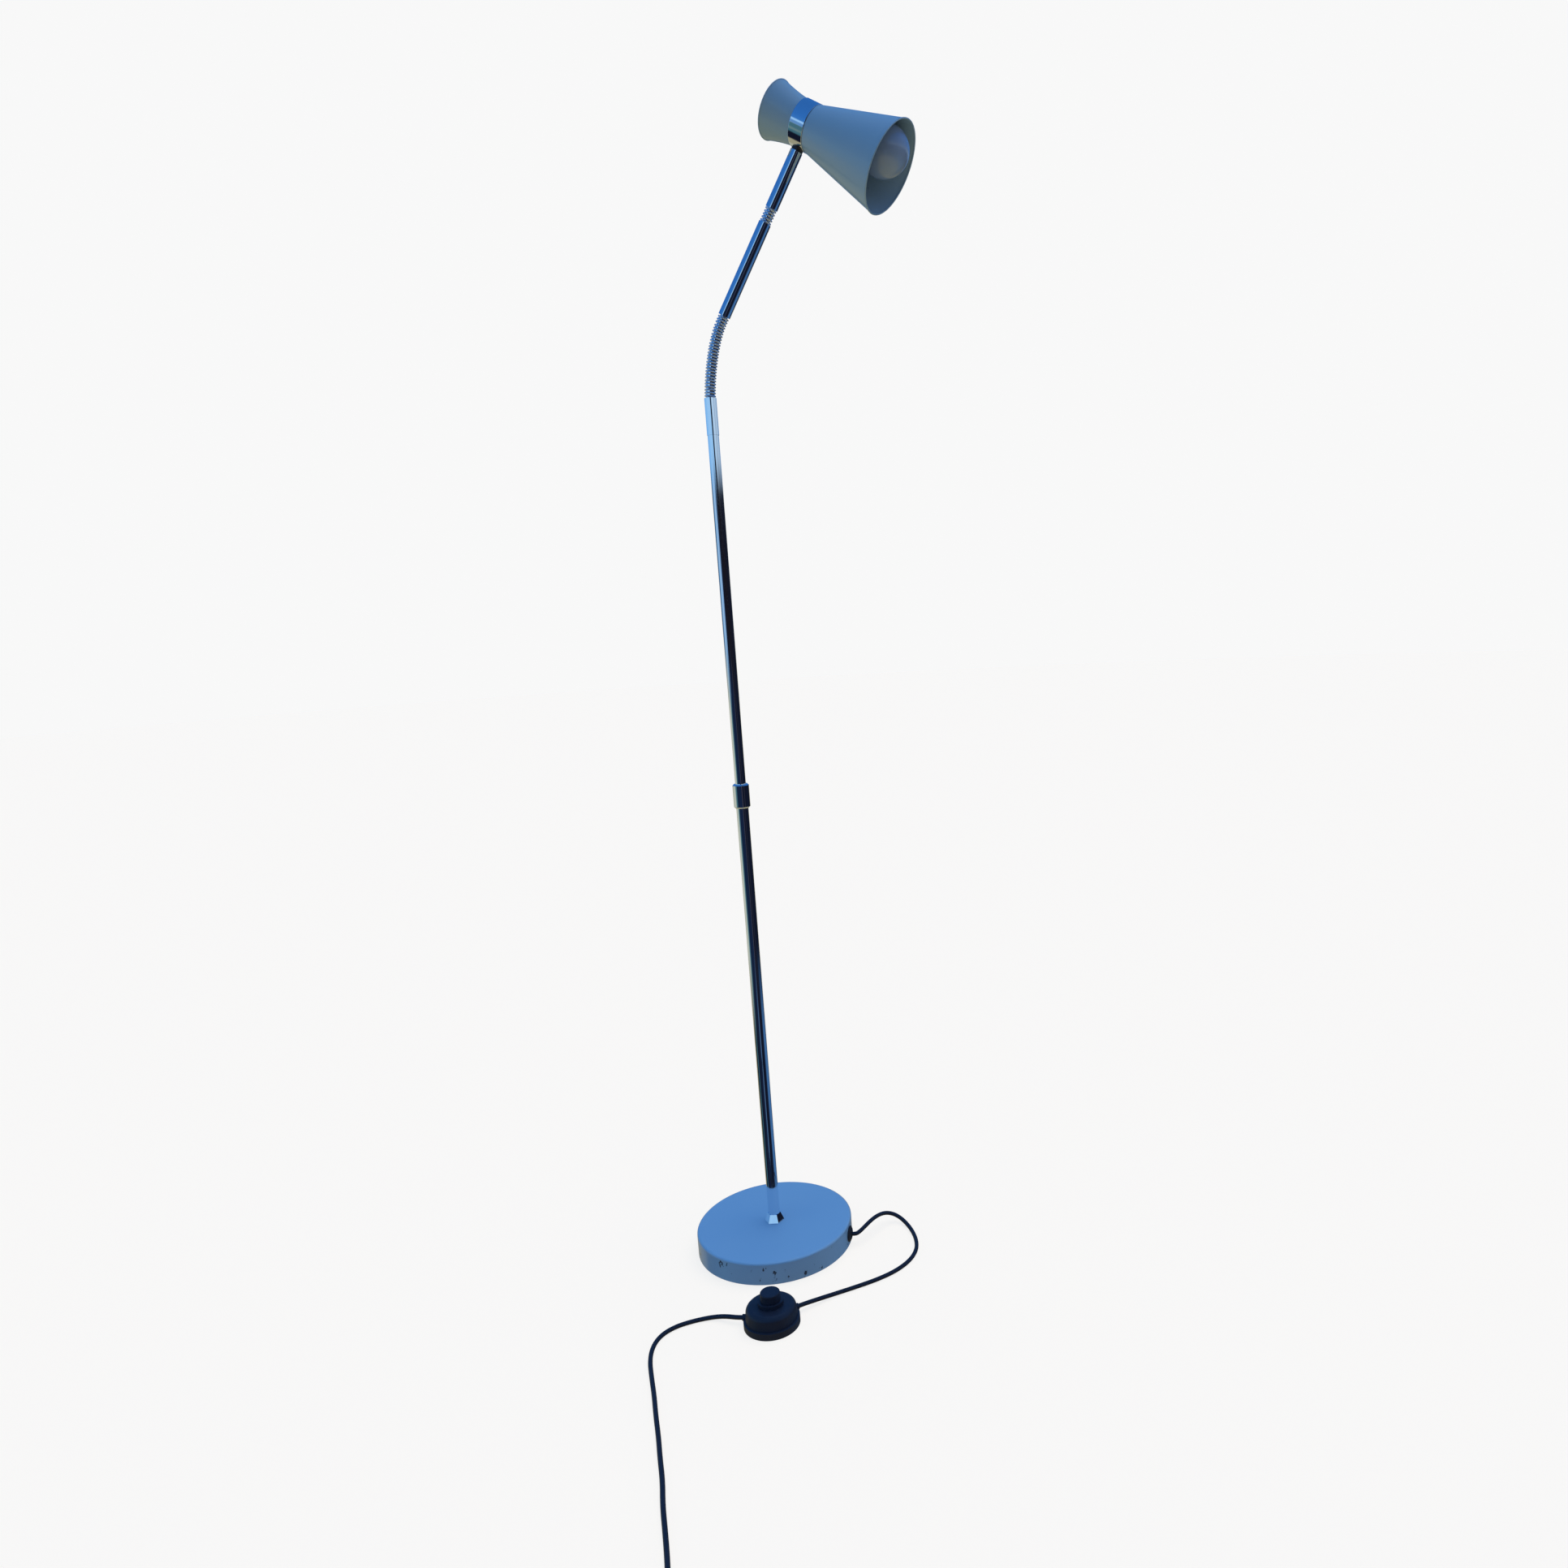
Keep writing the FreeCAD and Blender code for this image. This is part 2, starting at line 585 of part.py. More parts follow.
def make_cone_nut():
    """Hexagonal nut that tapers up to the tube."""
    lip_top = BASE_HEIGHT + CONE_NUT_LIP
    lip = hexagon(CONE_NUT_CORNER, BASE_HEIGHT, lip_top)
    low_wire = polygon_wire(CONE_NUT_CORNER, 6, lip_top)
    high_wire = polygon_wire(CONE_NUT_TOP_CORNER, 6, TUBE_BOTTOM)
    body = lip.fuse(Part.makeLoft([low_wire, high_wire], True, True))
    return body.cut(disc(STEM_RADIUS + SEAT_GAP, BALLAST_TOP, TUBE_BOTTOM + 1))


def make_lock_nut():
    """Flanged nut that pulls the whole stack together."""
    low = POCKET_TOP - LOCK_NUT_HEIGHT
    body = hexagon(LOCK_NUT_CORNER, low, POCKET_TOP - LOCK_NUT_FLANGE)
    body = body.fuse(disc(LOCK_NUT_FLANGE_RADIUS, POCKET_TOP - LOCK_NUT_FLANGE, POCKET_TOP))
    return body.cut(disc(STEM_RADIUS + SEAT_GAP, low - 1, POCKET_TOP + 1))


def make_tube_plug():
    """Threaded plug fixed in the foot of the lower tube."""
    top = TUBE_BOTTOM + STEM_IN_TUBE + 2
    return ring(LOWER_BORE - SEAT_GAP, STEM_RADIUS + SEAT_GAP, TUBE_BOTTOM, top)


# Mast

def make_lower_tube():
    """Fixed tube of the mast."""
    return ring(LOWER_TUBE_RADIUS, LOWER_BORE, TUBE_BOTTOM, LOWER_TUBE_TOP)


def make_collar_bush():
    """Threaded bush brazed on the top of the lower tube."""
    low = LOWER_TUBE_TOP - COLLAR_BUSH_LENGTH
    return ring(COLLAR_BUSH_RADIUS, LOWER_TUBE_RADIUS + SEAT_GAP, low, LOWER_TUBE_TOP)


def make_collar_nut():
    """Chrome clamping collar that turns on the bush."""
    top = COLLAR_BOTTOM + COLLAR_HEIGHT
    chamfer = COLLAR_CHAMFER
    body = turned(
        (0, COLLAR_BOTTOM), (COLLAR_RADIUS - chamfer, COLLAR_BOTTOM),
        (COLLAR_RADIUS, COLLAR_BOTTOM + chamfer), (COLLAR_RADIUS, top - chamfer),
        (COLLAR_RADIUS - chamfer, top), (0, top),
    )
    body = body.cut(disc(LOWER_TUBE_RADIUS + SLIDE_FIT, COLLAR_BOTTOM - 1, LOWER_TUBE_TOP))
    inside = COLLAR_BUSH_RADIUS + SLIDE_FIT
    body = body.cut(disc(inside, COLLAR_BOTTOM + COLLAR_LIP, top - COLLAR_LIP))
    return body.cut(disc(UPPER_TUBE_RADIUS + MOVING_GAP, LOWER_TUBE_TOP - 1, top + 1))


def make_collet():
    """Split ring that grips the upper tube when the collar is tightened."""
    low = LOWER_TUBE_TOP + ASSEMBLY_GAP
    grip = ring(COLLET_RADIUS, UPPER_TUBE_RADIUS + SLIDE_FIT, low, low + COLLET_HEIGHT)
    slit = Part.makeBox(2 * COLLET_RADIUS, COLLET_SLIT, COLLET_HEIGHT + 2,
                        Vector(0, -COLLET_SLIT / 2, low - 1))
    return grip.cut(slit)


def make_guide_bush():
    """Nylon bush under the upper tube, guiding it in the lower tube."""
    low = MAST_BOTTOM - GUIDE_LENGTH
    body = disc(LOWER_BORE - SLIDE_FIT, low, MAST_BOTTOM)
    spigot = disc(UPPER_BORE - SLIDE_FIT, MAST_BOTTOM, MAST_BOTTOM + GUIDE_SPIGOT)
    return body.fuse(spigot).cut(disc(LEAD_BORE_RADIUS + SEAT_GAP, low - 1, MAST_BOTTOM + 20))


def make_upper_tube():
    """Sliding tube of the mast, up into the ferrule."""
    return ring(UPPER_TUBE_RADIUS, UPPER_BORE, MAST_BOTTOM + SEAT_GAP, SEAT_TOP)


def make_lead_in_mast():
    """Cord inside the upper tube."""
    return disc(CORD_RADIUS, MAST_BOTTOM + SEAT_GAP, FERRULE_TOP)


# Links, sleeves and their balls and sockets

def ball(pivot):
    """Ball of a link or sleeve about the pivot above it, with the collar it grows from."""
    low = pivot - 2 * LINK_END_GAP
    high = pivot + BALL_REACH
    return Part.makeSphere(BALL_RADIUS, Vector(0, 0, pivot)).common(disc(BALL_RADIUS, low, high))


def socket(pivot):
    """Room for the ball about the pivot below a link or sleeve."""
    return disc(BALL_RADIUS + MOVING_GAP, pivot, pivot + SOCKET_DEPTH)


def rib(height):
    """Round rib about the neck's axis."""
    return Part.makeTorus(RIB_CIRCLE_RADIUS, RIB_RADIUS, Vector(0, 0, height))


def make_link():
    """Link about its own middle, ball up."""
    half = LINK_PITCH / 2
    body = disc(CORE_RADIUS, LINK_END_GAP - half, half - LINK_END_GAP)
    for index in range(LINK_RIBS):
        body = body.fuse(rib((index + 0.5) * RIB_PITCH - half))
    body = body.fuse(ball(half))
    body = body.cut(socket(-half))
    return body.cut(disc(LEAD_BORE_RADIUS, -LINK_PITCH, LINK_PITCH))


def make_neck_ferrule():
    """Sleeve over the top of the upper tube with the ball of the first link."""
    body = disc(SLEEVE_RADIUS, FERRULE_BOTTOM, FERRULE_TOP)
    body = body.cut(disc(UPPER_TUBE_RADIUS + SEAT_GAP, FERRULE_BOTTOM - 1, SEAT_TOP))
    body = body.fuse(ball(NECK_START))
    return body.cut(disc(LEAD_BORE_RADIUS, SEAT_TOP - 1, NECK_START + SOCKET_DEPTH))


def neck_tilt(share):
    """Tilt of the neck from the vertical at a share of its length."""
    even = NECK_EVEN_SHARE * share ** NECK_EVEN_POWER
    return ARM_TILT * (even + (1 - NECK_EVEN_SHARE) * share ** NECK_END_POWER)


def tilted(tilt):
    """Direction leaning from the vertical toward the arm's azimuth."""
    return polar(math.sin(math.radians(tilt)), ARM_AZIMUTH, math.cos(math.radians(tilt)))


def neck_chain():
    """Pivots below, between and above the neck's links, and each link's direction."""
    pivots = [Vector(0, 0, NECK_START)]
    directions = []
    for index in range(1, NECK_LINKS + 1):
        direction = tilted(neck_tilt(index / NECK_LINKS))
        directions.append(direction)
        pivots.append(pivots[-1] + direction * LINK_PITCH)
    return pivots, directions


BEND_AXIS = polar(1, ARM_AZIMUTH + 90)
ARM_DIRECTION = tilted(ARM_TILT)
NECK_PIVOTS, NECK_DIRECTIONS = neck_chain()
ARM_START = NECK_PIVOTS[-1]
ARM_SIDE = BEND_AXIS.cross(ARM_DIRECTION)
ARM_FRAME = frame(ARM_START, ARM_DIRECTION, ARM_SIDE)
ARM_END = ARM_START + ARM_DIRECTION * ARM_LENGTH
HEAD_CENTRE = ARM_END + ARM_DIRECTION * (KNUCKLE_HEIGHT + BAND_RADIUS)
HEAD_AXIS = Rotation(ARM_DIRECTION, HEAD_TURN).multVec(ARM_SIDE)
HEAD_FRAME = frame(HEAD_CENTRE, HEAD_AXIS, ARM_DIRECTION)
HOLDER_AXIS = (
    HEAD_AXIS * math.cos(math.radians(HOLDER_TILT))
    + ARM_DIRECTION * math.sin(math.radians(HOLDER_TILT))
)
HOLDER_FRAME = frame(HEAD_CENTRE, HOLDER_AXIS, ARM_DIRECTION)


def make_neck_links():
    """All links of the neck, each in its place."""
    links = []
    shape = make_link()
    for pivot, direction in zip(NECK_PIVOTS, NECK_DIRECTIONS):
        middle = pivot + direction * (LINK_PITCH / 2)
        links.append(placed(shape, frame(middle, direction, BEND_AXIS.cross(direction))))
    return links


def make_arm_sleeve():
    """Tube between the neck and the wrist."""
    top = WRIST_START - LINK_END_GAP
    sleeve_top = WRIST_START - RIB_PITCH
    body = disc(SLEEVE_RADIUS, LINK_END_GAP, sleeve_top)
    body = body.fuse([disc(CORE_RADIUS, 0.5 * top, top), rib(WRIST_START - RIB_PITCH / 2)])
    body = body.fuse(ball(WRIST_START))
    body = body.cut(socket(0))
    inside_top = sleeve_top - SLEEVE_END_RING
    body = body.cut(disc(SLEEVE_BORE, SOCKET_DEPTH + SLEEVE_END_RING, inside_top))
    body = body.cut(disc(LEAD_BORE_RADIUS, -1, WRIST_START + SOCKET_DEPTH))
    return placed(body, ARM_FRAME)


def make_wrist_link():
    """Link of the short ribbed stretch near the head."""
    middle = ARM_START + ARM_DIRECTION * (WRIST_START + LINK_PITCH / 2)
    return placed(make_link(), frame(middle, ARM_DIRECTION, ARM_SIDE))


def make_tip_sleeve():
    """Tube between the wrist and the swivel, closed by a cap."""
    low = WRIST_END + LINK_END_GAP
    body = disc(CORE_RADIUS, low, low + LINK_PITCH).fuse(rib(WRIST_END + RIB_PITCH / 2))
    sleeve_low = WRIST_END + RIB_PITCH
    body = body.fuse(disc(SLEEVE_RADIUS, sleeve_low, ARM_LENGTH))
    body = body.cut(socket(WRIST_END))
    body = body.cut(disc(SLEEVE_BORE, sleeve_low + SLEEVE_END_RING, ARM_LENGTH - TIP_CAP))
    body = body.cut(disc(LEAD_BORE_RADIUS, WRIST_END - 1, ARM_LENGTH - TIP_CAP - 1))
    body = body.cut(disc(STUD_RADIUS + SEAT_GAP, ARM_LENGTH - TIP_CAP - 2, ARM_LENGTH + 1))
    return placed(body, ARM_FRAME)


def make_lead_in_arm():
    """Cord inside the arm's lower sleeve."""
    return placed(disc(CORD_RADIUS, SOCKET_DEPTH, WRIST_START - LINK_END_GAP), ARM_FRAME)


# Swivel

def make_swivel_stud():
    """Hollow bolt from the arm's cap through the band."""
    under_cap = ARM_LENGTH - TIP_CAP
    high = ARM_LENGTH + KNUCKLE_HEIGHT + BAND_WALL + STUD_INSIDE
    body = disc(STUD_RADIUS, under_cap - STUD_HEAD_THICKNESS, high)
    body = body.fuse(disc(STUD_HEAD_RADIUS, under_cap - STUD_HEAD_THICKNESS, under_cap))
    return placed(body.cut(disc(CORD_RADIUS + SEAT_GAP, 0, high + 1)), ARM_FRAME)


def make_swivel_knuckle():
    """Black saddle between the arm's cap and the band."""
    low = ARM_LENGTH + MOVING_GAP
    body = ring(KNUCKLE_RADIUS, STUD_RADIUS + SLIDE_FIT, low, ARM_LENGTH + KNUCKLE_HEIGHT + 2)
    band = placed(disc(BAND_RADIUS, -BAND_LENGTH, BAND_LENGTH), HEAD_FRAME)
    return placed(body, ARM_FRAME).cut(band)


def nut_top():
    """Outer face of the swivel nut, along the arm, clear of the round inside of the band."""
    dip = BAND_INSIDE - math.sqrt(BAND_INSIDE ** 2 - SWIVEL_NUT_CORNER ** 2)
    return ARM_LENGTH + KNUCKLE_HEIGHT + BAND_WALL + dip + MOVING_GAP


def make_swivel_nut():
    """Nut on the stud inside the band."""
    low = nut_top()
    body = hexagon(SWIVEL_NUT_CORNER, low, low + SWIVEL_NUT_THICKNESS)
    body = body.cut(disc(STUD_RADIUS + SEAT_GAP, low - 1, low + SWIVEL_NUT_THICKNESS + 1))
    return placed(body, ARM_FRAME)


# Head

def arm_side_hole(radius):
    """Round hole through the arm's side of the head, along the arm."""
    low = ARM_LENGTH - KNUCKLE_HEIGHT
    high = ARM_LENGTH + KNUCKLE_HEIGHT + 0.5 * BAND_RADIUS
    return placed(disc(radius, low, high), ARM_FRAME)


def make_head_band():
    """Chrome ring between the two shades."""
    half = BAND_LENGTH / 2
    outside = disc(BAND_RADIUS, -half, half)
    outside = outside.makeFillet(
        BAND_EDGE_RADIUS,
        [e for e in outside.Edges if edge_at(BAND_RADIUS, half)(e) or edge_at(BAND_RADIUS, -half)(e)],
    )
    band = outside.cut(disc(BAND_INSIDE, -BAND_LENGTH, BAND_LENGTH))
    return placed(band, HEAD_FRAME).cut(arm_side_hole(STUD_RADIUS + SLIDE_FIT))


def make_front_shade():
    """Straight cone with a collar in the band and a rolled lip at the mouth."""
    half = BAND_LENGTH / 2
    outer = COLLAR_FIT_RADIUS
    inner = outer - SHADE_WALL
    rim = FRONT_START + FRONT_LENGTH
    cone = turned(
        (inner, half - SHADE_COLLAR), (outer, half - SHADE_COLLAR), (outer, FRONT_START),
        (FRONT_START_RADIUS, FRONT_START), (FRONT_RIM_RADIUS, rim),
        (FRONT_RIM_RADIUS - SHADE_WALL, rim), (inner, FRONT_START + SHADE_WALL),
    )
    lip = Part.makeTorus(FRONT_RIM_RADIUS - SHADE_WALL / 2, FRONT_LIP_RADIUS, Vector(0, 0, rim))
    return placed(cone.fuse(lip), HEAD_FRAME).cut(arm_side_hole(SWIVEL_NOTCH_RADIUS))


def make_rear_shade():
    """Short flare that curves in slightly, with a rolled lip."""
    half = BAND_LENGTH / 2
    outer = COLLAR_FIT_RADIUS
    inner = outer - SHADE_WALL
    rim = half + REAR_LENGTH
    waist = (outer + REAR_RIM_RADIUS) / 2 - REAR_WAIST
    middle = half + REAR_LENGTH / 2
    flare = turned(
        (inner, SHADE_COLLAR - half), (outer, SHADE_COLLAR - half), (outer, -half),
        ((waist, -middle), (REAR_RIM_RADIUS, -rim)), (REAR_RIM_RADIUS - SHADE_WALL, -rim),
        ((waist - SHADE_WALL, -middle), (inner, -half)),
    )
    lip = Part.makeTorus(REAR_RIM_RADIUS - SHADE_WALL / 2, REAR_LIP_RADIUS, Vector(0, 0, -rim))
    return placed(flare.fuse(lip), HEAD_FRAME).cut(arm_side_hole(SWIVEL_NOTCH_RADIUS))


def make_rear_vent_disc():
    """Disc with round vents that closes the rear flare."""
    half = BAND_LENGTH / 2
    low = -half - REAR_LENGTH + VENT_DISC_INSET
    waist = (COLLAR_FIT_RADIUS + REAR_RIM_RADIUS) / 2 - REAR_WAIST
    slope = (REAR_RIM_RADIUS - waist) / (REAR_LENGTH / 2)
    edge = REAR_RIM_RADIUS - SHADE_WALL - slope * (VENT_DISC_INSET + VENT_DISC_THICKNESS)
    plate = disc(edge - ASSEMBLY_GAP, low, low + VENT_DISC_THICKNESS)
    for index in range(VENT_HOLES):
        point = polar(VENT_HOLE_CIRCLE, 360 * index / VENT_HOLES)
        plate = plate.cut(disc(VENT_HOLE_RADIUS, low - 1, low + 2, point.x, point.y))
    return placed(plate, HEAD_FRAME)


# Lampholder and bulb, built about the holder's own axis

def make_holder_plate():
    """Plate across the band that carries the lampholder."""
    half = HOLDER_PLATE_THICKNESS / 2
    plate = disc(BAND_INSIDE - MOVING_GAP, -half, half).cut(disc(NIPPLE_RADIUS + SEAT_GAP, -2, 2))
    for index in range(HOLDER_VENTS):
        point = polar(HOLDER_VENT_CIRCLE, 45 + 360 * index / HOLDER_VENTS)
        plate = plate.cut(disc(HOLDER_VENT_RADIUS, -2, 2, point.x, point.y))
    return placed(plate, HOLDER_FRAME).cut(arm_side_hole(SWIVEL_NOTCH_RADIUS))


def make_holder_bolt():
    """Hollow bolt that joins the holder to the plate, its hexagon behind the plate."""
    high = -HOLDER_PLATE_THICKNESS / 2
    body = disc(NIPPLE_RADIUS, -NIPPLE_BACK, NIPPLE_FRONT)
    body = body.fuse(hexagon(BOLT_HEX_CORNER, high - BOLT_HEX_THICKNESS, high))
    return placed(body.cut(disc(NIPPLE_BORE_RADIUS, -NIPPLE_BACK - 1, NIPPLE_FRONT + 1)), HOLDER_FRAME)


CAP_LOW = HOLDER_PLATE_THICKNESS / 2
CAP_HIGH = CAP_LOW + HOLDER_CAP_LENGTH
SHELL_HIGH = CAP_HIGH + HOLDER_SHELL_LENGTH
SOCKET_LOW = CAP_HIGH - SOCKET_SUNK
BULB_LOW = SOCKET_LOW + SOCKET_FLOOR


def make_holder_cap():
    """Bakelite cup on the nipple."""
    body = turned(
        (0, CAP_LOW), (0.7 * HOLDER_CAP_RADIUS, CAP_LOW),
        (HOLDER_CAP_RADIUS, CAP_LOW + HOLDER_FLOOR), (HOLDER_CAP_RADIUS, CAP_HIGH), (0, CAP_HIGH),
    )
    body = body.cut(disc(HOLDER_CAP_RADIUS - HOLDER_WALL, CAP_LOW + HOLDER_FLOOR, CAP_HIGH + 1))
    return placed(body.cut(disc(NIPPLE_RADIUS + SEAT_GAP, CAP_LOW - 1, CAP_HIGH)), HOLDER_FRAME)


def make_holder_shell():
    """Bakelite skirt round the bulb's screw cap."""
    step = CAP_HIGH + HOLDER_WALL
    body = disc(HOLDER_SHELL_RADIUS, CAP_HIGH, SHELL_HIGH)
    body = body.cut(disc(HOLDER_SHELL_RADIUS - HOLDER_WALL, step, SHELL_HIGH + 1))
    return placed(body.cut(disc(SOCKET_RADIUS + ASSEMBLY_GAP, CAP_HIGH - 1, step + 1)), HOLDER_FRAME)


def make_lamp_socket():
    """Threaded metal cup that the bulb screws into."""
    top = SHELL_HIGH - HOLDER_WALL
    body = disc(SOCKET_RADIUS, SOCKET_LOW, top)
    body = body.cut(disc(SOCKET_RADIUS - SOCKET_WALL, BULB_LOW, top + 1))
    return placed(body.cut(disc(NIPPLE_BORE_RADIUS, SOCKET_LOW - 1, BULB_LOW + 1)), HOLDER_FRAME)


def make_bulb_cap():
    """Metal screw cap of the bulb with its tip."""
    shoulder = BULB_LOW + BULB_TIP_HEIGHT
    body = turned(
        (0, BULB_LOW), (BULB_TIP_RADIUS, BULB_LOW), (BULB_CAP_RADIUS, shoulder),
        (BULB_CAP_RADIUS, BULB_LOW + BULB_CAP_LENGTH), (0, BULB_LOW + BULB_CAP_LENGTH),
    )
    return placed(body, HOLDER_FRAME)


def globe_solid(radius, neck_radius, low):
    """Solid globe with its neck, about the holder's axis."""
    angle = math.radians(BULB_NECK_ANGLE)
    waist = (radius * math.cos(angle), BULB_CENTRE - radius * math.sin(angle))
    side = (radius * math.cos(angle / 4), BULB_CENTRE + radius * math.sin(angle / 4))
    neck_top = waist[1] - BULB_NECK_LENGTH
    return turned(
        (0, low), (neck_radius, low), (neck_radius, neck_top), waist,
        (side, (0, BULB_CENTRE + radius)),
    )


def make_bulb_globe():
    """Opal glass globe."""
    low = BULB_LOW + BULB_CAP_LENGTH
    outside = globe_solid(BULB_RADIUS, BULB_NECK_RADIUS, low)
    inside = globe_solid(BULB_RADIUS - BULB_GLASS, BULB_NECK_RADIUS - BULB_GLASS, low + BULB_GLASS)
    return placed(outside.cut(inside), HOLDER_FRAME)


def make_lead_in_head():
    """Cord from the swivel stud round to the back of the holder."""
    entry = STUD_INSIDE - BAND_INSIDE + 1
    points = [
        HEAD_FRAME.multVec(Vector(entry, 0, 0)),
        HEAD_FRAME.multVec(Vector(entry + 5, 0, -3)),
        HOLDER_FRAME.multVec(Vector(-2 * LEAD_LOOP, 0, -NIPPLE_BACK - 3)),
        HOLDER_FRAME.multVec(Vector(-2 * LEAD_LOOP, 0, -NIPPLE_BACK - 15)),
        HOLDER_FRAME.multVec(Vector(-LEAD_LOOP, 0, -NIPPLE_BACK - 20.5)),
        HOLDER_FRAME.multVec(Vector(0, 0, -NIPPLE_BACK - 15)),
        HOLDER_FRAME.multVec(Vector(0, 0, CAP_LOW + HOLDER_FLOOR + 4)),
    ]
    return cord_tube("lead_in_head", points)


# Foot switch

def at_switch(shape):
    """Shape built about the Z axis, moved to the foot switch."""
    return placed(shape, Placement(from_exit(*SWITCH_AT), Rotation()))


def switch_outside(inset):
    """Outer shape of the switch's cover, or its inside with an inset."""
    top = SWITCH_TOP - inset
    shoulder = SWITCH_SHOULDER_RADIUS
    edge = top - SWITCH_CROWN
    body = SWITCH_BODY_RADIUS - inset
    upper = body - SWITCH_TAPER
    corner = 0.293 * shoulder  # how far the middle of a quarter arc lies from its corner's sides
    return turned(
        (0, 0), (SWITCH_RADIUS - inset, 0), (SWITCH_RADIUS - inset, SWITCH_FLANGE_HEIGHT - inset),
        (body, SWITCH_FLANGE_HEIGHT - inset + SWITCH_STEP), (upper, edge - shoulder),
        ((upper - corner, edge - corner), (upper - shoulder, edge)), (0, top),
    )


def switch_boss(azimuth):
    """Stub that a cord enters the switch by."""
    stub = disc(SWITCH_BOSS_RADIUS, SWITCH_BODY_RADIUS - SWITCH_WALL - 3, SWITCH_BOSS_REACH)
    return outward(stub, 0, azimuth, SWITCH_CORD_HEIGHT)


def cord_bore(azimuth):
    """Hole for the cord through a stub."""
    hole = disc(CORD_RADIUS + SEAT_GAP, SWITCH_BODY_RADIUS - SWITCH_WALL - 5, SWITCH_BOSS_REACH + 1)
    return outward(hole, 0, azimuth, SWITCH_CORD_HEIGHT)


def switch_screw_points():
    """Screws across the line between the two cords."""
    middle = (SWITCH_IN_AZIMUTH + SWITCH_OUT_AZIMUTH) / 2
    return [polar(SWITCH_SCREW_CIRCLE, middle + turn) for turn in (0, 180)]


def make_switch_cover():
    """Domed cover with a collar round the button and two screw posts."""
    low = SWITCH_BASE_THICKNESS
    body = switch_outside(0)
    body = body.fuse(disc(SWITCH_COLLAR_RADIUS, SWITCH_TOP - 2, SWITCH_TOP + SWITCH_COLLAR_HEIGHT))
    body = body.fuse([switch_boss(SWITCH_IN_AZIMUTH), switch_boss(SWITCH_OUT_AZIMUTH)])
    body = body.cut(switch_outside(SWITCH_WALL))
    posts = []
    for point in switch_screw_points():
        posts.append(disc(SWITCH_POST_RADIUS, low, SWITCH_TOP - SWITCH_WALL, point.x, point.y))
    body = body.fuse(posts)
    body = body.cut(disc(SWITCH_RADIUS + 1, -1, low))
    body = body.cut(disc(BUTTON_RADIUS + MOVING_GAP, low, BUTTON_TOP))
    for point in switch_screw_points():
        top = SWITCH_SCREW_SUNK + SWITCH_SCREW_LENGTH + POST_HOLE_SPARE
        body = body.cut(disc(SWITCH_SCREW_RADIUS + SEAT_GAP, 0, top, point.x, point.y))
    body = body.cut(cord_bore(SWITCH_IN_AZIMUTH)).cut(cord_bore(SWITCH_OUT_AZIMUTH))
    return at_switch(body)


def make_switch_base():
    """Bottom plate of the switch."""
    body = disc(SWITCH_RADIUS, 0, SWITCH_BASE_THICKNESS)
    for point in switch_screw_points():
        hole = disc(SWITCH_SCREW_RADIUS + SEAT_GAP, -1, SWITCH_SCREW_LENGTH, point.x, point.y)
        body = body.cut(hole)
        body = body.cut(disc(SWITCH_SCREW_HEAD + SEAT_GAP, -1, SCREW_HEAD_TOP, point.x, point.y))
    return at_switch(body)


def make_switch_screws():
    """Screws sunk in the bottom plate."""
    screws = []
    for point in switch_screw_points():
        top = SWITCH_SCREW_SUNK + SWITCH_SCREW_LENGTH
        shank = disc(SWITCH_SCREW_RADIUS, SWITCH_SCREW_SUNK, top, point.x, point.y)
        head = disc(SWITCH_SCREW_HEAD, SWITCH_SCREW_SUNK, SCREW_HEAD_TOP, point.x, point.y)
        screws.append(shank.fuse(head))
    return at_switch(Part.makeCompound(screws))


BUTTON_FLANGE_HIGH = SWITCH_TOP - SWITCH_WALL - SWITCH_CROWN - MOVING_GAP
BUTTON_FLANGE_LOW = BUTTON_FLANGE_HIGH - BUTTON_FLANGE_THICKNESS


def make_switch_block():
    """Contact block under the button."""
    top = BUTTON_FLANGE_LOW - BUTTON_TRAVEL - MOVING_GAP
    corner = Vector(-SWITCH_BLOCK_LENGTH / 2, -SWITCH_BLOCK_WIDTH / 2, SWITCH_BASE_THICKNESS)
    height = top - SWITCH_BASE_THICKNESS
    return at_switch(Part.makeBox(SWITCH_BLOCK_LENGTH, SWITCH_BLOCK_WIDTH, height, corner))


def make_switch_button():
    """Push button with the flange that keeps it in."""
    body = disc(BUTTON_RADIUS, BUTTON_FLANGE_LOW, BUTTON_TOP)
    body = rounded_edges(body, BUTTON_EDGE_RADIUS, edge_at(BUTTON_RADIUS, BUTTON_TOP))
    flange = disc(BUTTON_RADIUS + BUTTON_FLANGE, BUTTON_FLANGE_LOW, BUTTON_FLANGE_HIGH)
    return at_switch(body.fuse(flange))


def switch_exit(azimuth, distance):
    """Point on a cord's straight way out of the switch."""
    return polar(distance, azimuth) + from_exit(*SWITCH_AT, SWITCH_CORD_HEIGHT)


# Free cord, coil and plug

def make_lead_to_switch():
    """Cord from the grommet to the switch."""
    face = from_exit(0, 0, GROMMET_HEIGHT)
    points = [
        face,
        face + polar(CORD_STUB, GROMMET_AZIMUTH),
        *[from_exit(*point) for point in TO_SWITCH],
        switch_exit(SWITCH_IN_AZIMUTH, SWITCH_BOSS_REACH + CORD_STUB),
        switch_exit(SWITCH_IN_AZIMUTH, SWITCH_BOSS_REACH),
    ]
    return cord_tube("lead_to_switch", points)


